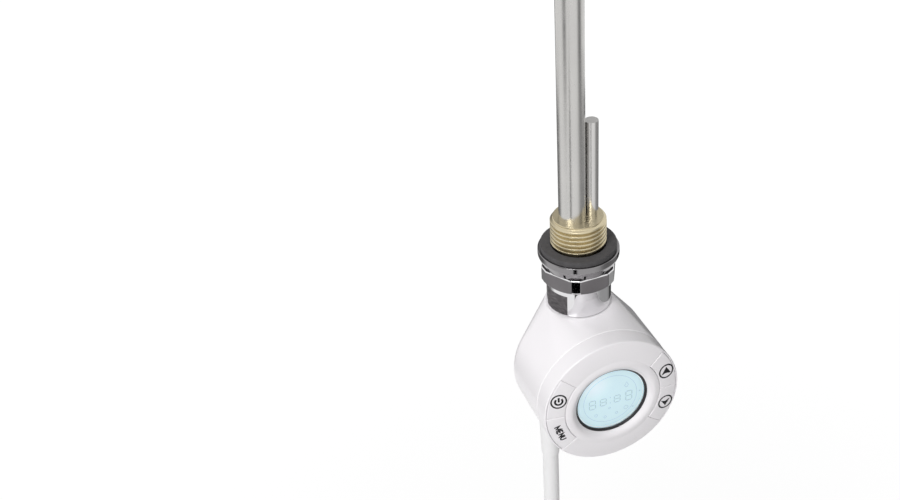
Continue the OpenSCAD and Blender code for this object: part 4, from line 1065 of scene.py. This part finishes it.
class FinishInside(Piece):
    """Finishes the pieces inside the head and the rod"""

    bl_idname = "heating.inside"
    bl_label = "Inner Pieces"

    def build(self, collar, head, lead):
        moulded = {
            "Inner White": ((0.80, 0.80, 0.78), "backlight lcd_frame"),
            "Inner Dark": ((0.045, 0.045, 0.05), "zebra_strips controller_chip tact_switches board_header"),
            "Ceramic": ((0.82, 0.80, 0.74), "heater_filling ceramic_core"),
            "Board Green": ((0.03, 0.20, 0.10), "control_board power_board"),
            "Relay Amber": ((0.75, 0.33, 0.08), "relay"),
            "Capacitor Yellow": ((0.72, 0.52, 0.08), "supply_capacitors"),
            "Fuse Brown": ((0.16, 0.07, 0.04), "board_fuse thermistor"),
            "Varistor Blue": ((0.07, 0.14, 0.45), "varistor"),
            "Terminal Green": ((0.10, 0.42, 0.12), "terminal_blocks"),
            "Wire Brown": ((0.25, 0.11, 0.05), "mains_wires head_leads"),
            "Glass Braid": ((0.70, 0.66, 0.52), "element_leads lead_sleeve"),
            "Silicone Seal": ((0.50, 0.05, 0.04), "end_seal"),
            "Seal Black": ((0.03, 0.03, 0.03), "bezel_seal"),
            "Actuator White": ((0.78, 0.77, 0.74), "up_actuator down_actuator menu_actuator power_actuator cord_clamp"),
        }
        for name, (tone, nodes) in moulded.items():
            paint(name, nodes, (tone, 0.85, 200, 0.35, 0.5, 0.1, 1200))
        plated = {
            "Zinc Steel": ((0.62, 0.62, 0.60), "heater_pins board_spacers board_screws clamp_screw thermal_fuse"),
            "Copper": ((0.70, 0.36, 0.20), "heating_coil crimp_sleeves"),
        }
        for name, (tone, nodes) in plated.items():
            paint(name, nodes, (tone, 0.85, 150, 0.2, 0.35, 0.05, (300, 300, 900)))


def shown(tree):
    """One for a ray from the camera, a mirror or glass, and otherwise nothing."""
    path = add(tree, "LightPath").outputs
    seen = add(tree, "Math", {0: path["Is Camera Ray"], 1: path["Is Glossy Ray"]}, operation="MAXIMUM")
    return add(tree, "Math", {0: seen.outputs[0], 1: path["Is Transmission Ray"]}, operation="MAXIMUM").outputs[0]


def set_up(name, data, place, right, up, back):
    """Puts a camera or a lamp in its place, looking against the third direction."""
    made = bpy.data.objects.new(name, data)
    made.matrix_world = Matrix.Translation(place) @ Matrix((right, up, back)).transposed().to_4x4()
    bpy.context.scene.collection.objects.link(made)
    return made


def set_piece(name, verts, faces, material):
    """A piece of the stage."""
    mesh = bpy.data.meshes.new(name)
    mesh.from_pydata(verts.tolist(), [], faces)
    mesh.materials.append(material)
    made = bpy.data.objects.new(name, mesh)
    bpy.context.scene.collection.objects.link(made)
    return made


def set_camera(scene):
    """Looks along the frame of two angles and a roll."""
    turn, lift, roll = np.radians([-16.19, 34.39, -4.68])
    back = np.array([np.sin(turn) * np.cos(lift), -np.cos(turn) * np.cos(lift), np.sin(lift)])
    right = np.array([np.cos(turn), np.sin(turn), 0])
    up = np.cross(back, right)
    across, upward = right * np.cos(roll) + up * np.sin(roll), up * np.cos(roll) - right * np.sin(roll)
    data = bpy.data.cameras.new("studio_camera")
    data.lens = 48.2
    data.sensor_width = 36
    data.clip_start = 0.01
    scene.camera = set_up("studio_camera", data, (-0.14926, -0.34219, 0.25423), across, upward, back)


def set_floor(tone):
    """A disc under the lowest point: plain to light, white to the camera, mirrors and glass, and with a
    share of its own shading near the object, where its shadow falls."""
    r = np.array([0.0, 0.4, 1.0, 2.5])[:, None]
    verts, faces, _ = skin(wheel(r, round_angles(96), CAD_BOX[0][2] - 0.0008))
    made, tree, shader = fresh("Studio Floor")
    join(tree, shader, {"Base Color": (*tone, 1), "Roughness": 0.9, "Specular IOR Level": 0.1})
    away = add(tree, "VectorMath", {0: object_point(tree), 1: (1, 1, 0)}, operation="MULTIPLY")
    away = add(tree, "VectorMath", {0: away.outputs[0]}, operation="LENGTH")
    share = add(tree, "MapRange", {"Value": away.outputs["Value"], "From Min": 0.1, "From Max": 0.7,
                                   "To Min": 0.84, "To Max": 1.0})
    part = add(tree, "Math", {0: shown(tree), 1: share.outputs["Result"]}, operation="MULTIPLY")
    white = add(tree, "Emission", {"Strength": 1.05})
    mix = add(tree, "MixShader", {0: part.outputs[0], 1: shader.outputs[0], 2: white.outputs[0]})
    join(tree, tree.nodes["Material Output"], {"Surface": mix.outputs[0]})
    set_piece("studio_floor", verts, faces, made)


def set_room(scene):
    """A pale room, white to the camera and dimmer to the right."""
    world = bpy.data.worlds.new("studio_room")
    world.use_nodes = True
    tree = world.node_tree
    where = add(tree, "TexCoord").outputs["Generated"]
    side = add(tree, "VectorMath", {0: where, 1: (-0.92, -0.18, 0.34)}, operation="DOT_PRODUCT")
    fall = add(tree, "MapRange", {"Value": side.outputs["Value"], "From Min": -0.55, "From Max": 0.45,
                                  "To Min": 0.165, "To Max": 0.5}, interpolation_type="SMOOTHSTEP")
    seen = add(tree, "Math", {0: shown(tree), 1: fall.outputs["Result"]}, operation="MAXIMUM")
    join(tree, tree.nodes["Background"], {"Strength": seen.outputs[0], "Color": (1, 1, 1, 1)})
    scene.world = world


def set_mirrors():
    """Two bands of a drum that only mirrors see: white as the room, with dark cards in it.

    Each pair gives an angle, leftwards from the front, and the tone there.
    """
    low = [(0, 1.0), (26, 1.0), (29, 0.0), (36, 0.0), (39, 1.0), (118, 1.0), (142, 0.22), (185, 0.16),
           (200, 0.03), (243, 0.05), (254, 0.28), (266, 0.33), (300, 0.34), (312, 0.44), (325, 0.78),
           (338, 0.95), (360, 1.0)]
    high = [(0, 1.0), (48, 1.0), (60, 0.25), (72, 0.25), (86, 1.0), (160, 1.0), (178, 0.2), (196, 0.2),
            (215, 1.0), (282, 1.0), (298, 0.25), (312, 0.25), (330, 1.0), (360, 1.0)]
    turn, radius = np.arange(361), 0.42
    tone = [np.interp(turn, *np.array(band).T) for band in (low, low, high, high)]
    heights = np.array([CAD_BOX[0][2] - 0.0005, -0.15, -0.15, 0.4])[:, None]
    points = wheel(radius, -np.pi / 2 - np.radians(turn)[None, :], heights).reshape(-1, 3)
    corners = turn[:-1, None] + [0, 1, 362, 361]
    made, tree, _ = fresh("Studio Cards")
    given = add(tree, "Attribute", attribute_name="tone")
    glow = add(tree, "Emission", {"Strength": given.outputs["Fac"]})
    join(tree, tree.nodes["Material Output"], {"Surface": glow.outputs[0]})
    cards = set_piece("studio_mirrors", points, np.concatenate([corners, corners + 722]).tolist(), made)
    cards.data.attributes.new("tone", "FLOAT", "POINT").data.foreach_set("value", np.concatenate(tone))
    for way in ("camera", "diffuse", "transmission", "shadow"):
        setattr(cards, "visible_" + way, False)


def set_lamp(name, place, aim, size, power):
    data = bpy.data.lights.new(name, "AREA")
    data.shape = "DISK"
    data.size = size
    data.energy = power
    back = unit(np.array(place) - aim)
    right = unit(np.cross([0, 0, 1.0], back))
    set_up(name, data, place, right, np.cross(back, right), back).visible_camera = False


class MakeStage(Piece):
    """Makes the floor, the room, the lamp and the camera"""

    bl_idname = "heating.stage"
    bl_label = "Stage"

    def build(self, collar, head, lead):
        scene = bpy.context.scene
        scene.view_settings.view_transform = "Standard"
        set_camera(scene)
        set_floor(scene.element_colours.floor)
        set_room(scene)
        set_mirrors()
        set_lamp("key_lamp", (-0.56, -0.50, 0.60), (0, 0, -0.05), 0.45, 6.4)


OPERATORS = (MakeStage, MakeLead, MakeFitting, MakeCollar, FinishRod, MakeShell, MakeFace, MakeButtons,
             MakeDisplay, FinishInside)


class ElementPanel(bpy.types.Panel):
    """Lists the pieces of the heating element"""

    bl_idname = "VIEW3D_PT_heating_element"
    bl_label = "Heating Element"
    bl_space_type = "VIEW_3D"
    bl_region_type = "UI"
    bl_category = "Heating Element"

    def draw(self, context):
        for one in OPERATORS:
            self.layout.operator(one.bl_idname)


SIZES = {"collar_sizes": CollarSizes, "head_sizes": HeadSizes, "lead_sizes": LeadSizes,
         "element_colours": Colours}
CLASSES = (*SIZES.values(), *OPERATORS, ElementPanel)


def register():
    for one in CLASSES:
        bpy.utils.register_class(one)
    for name, one in SIZES.items():
        setattr(bpy.types.Scene, name, bpy.props.PointerProperty(type=one))


def unregister():
    for name in SIZES:
        delattr(bpy.types.Scene, name)
    for one in reversed(CLASSES):
        bpy.utils.unregister_class(one)


def main():
    register()
    for one in OPERATORS:
        family, name = one.bl_idname.split(".")
        if getattr(getattr(bpy.ops, family), name)() != {"FINISHED"}:
            raise RuntimeError(f"{one.bl_label} wasn't finished")


if __name__ == "__main__":
    main()
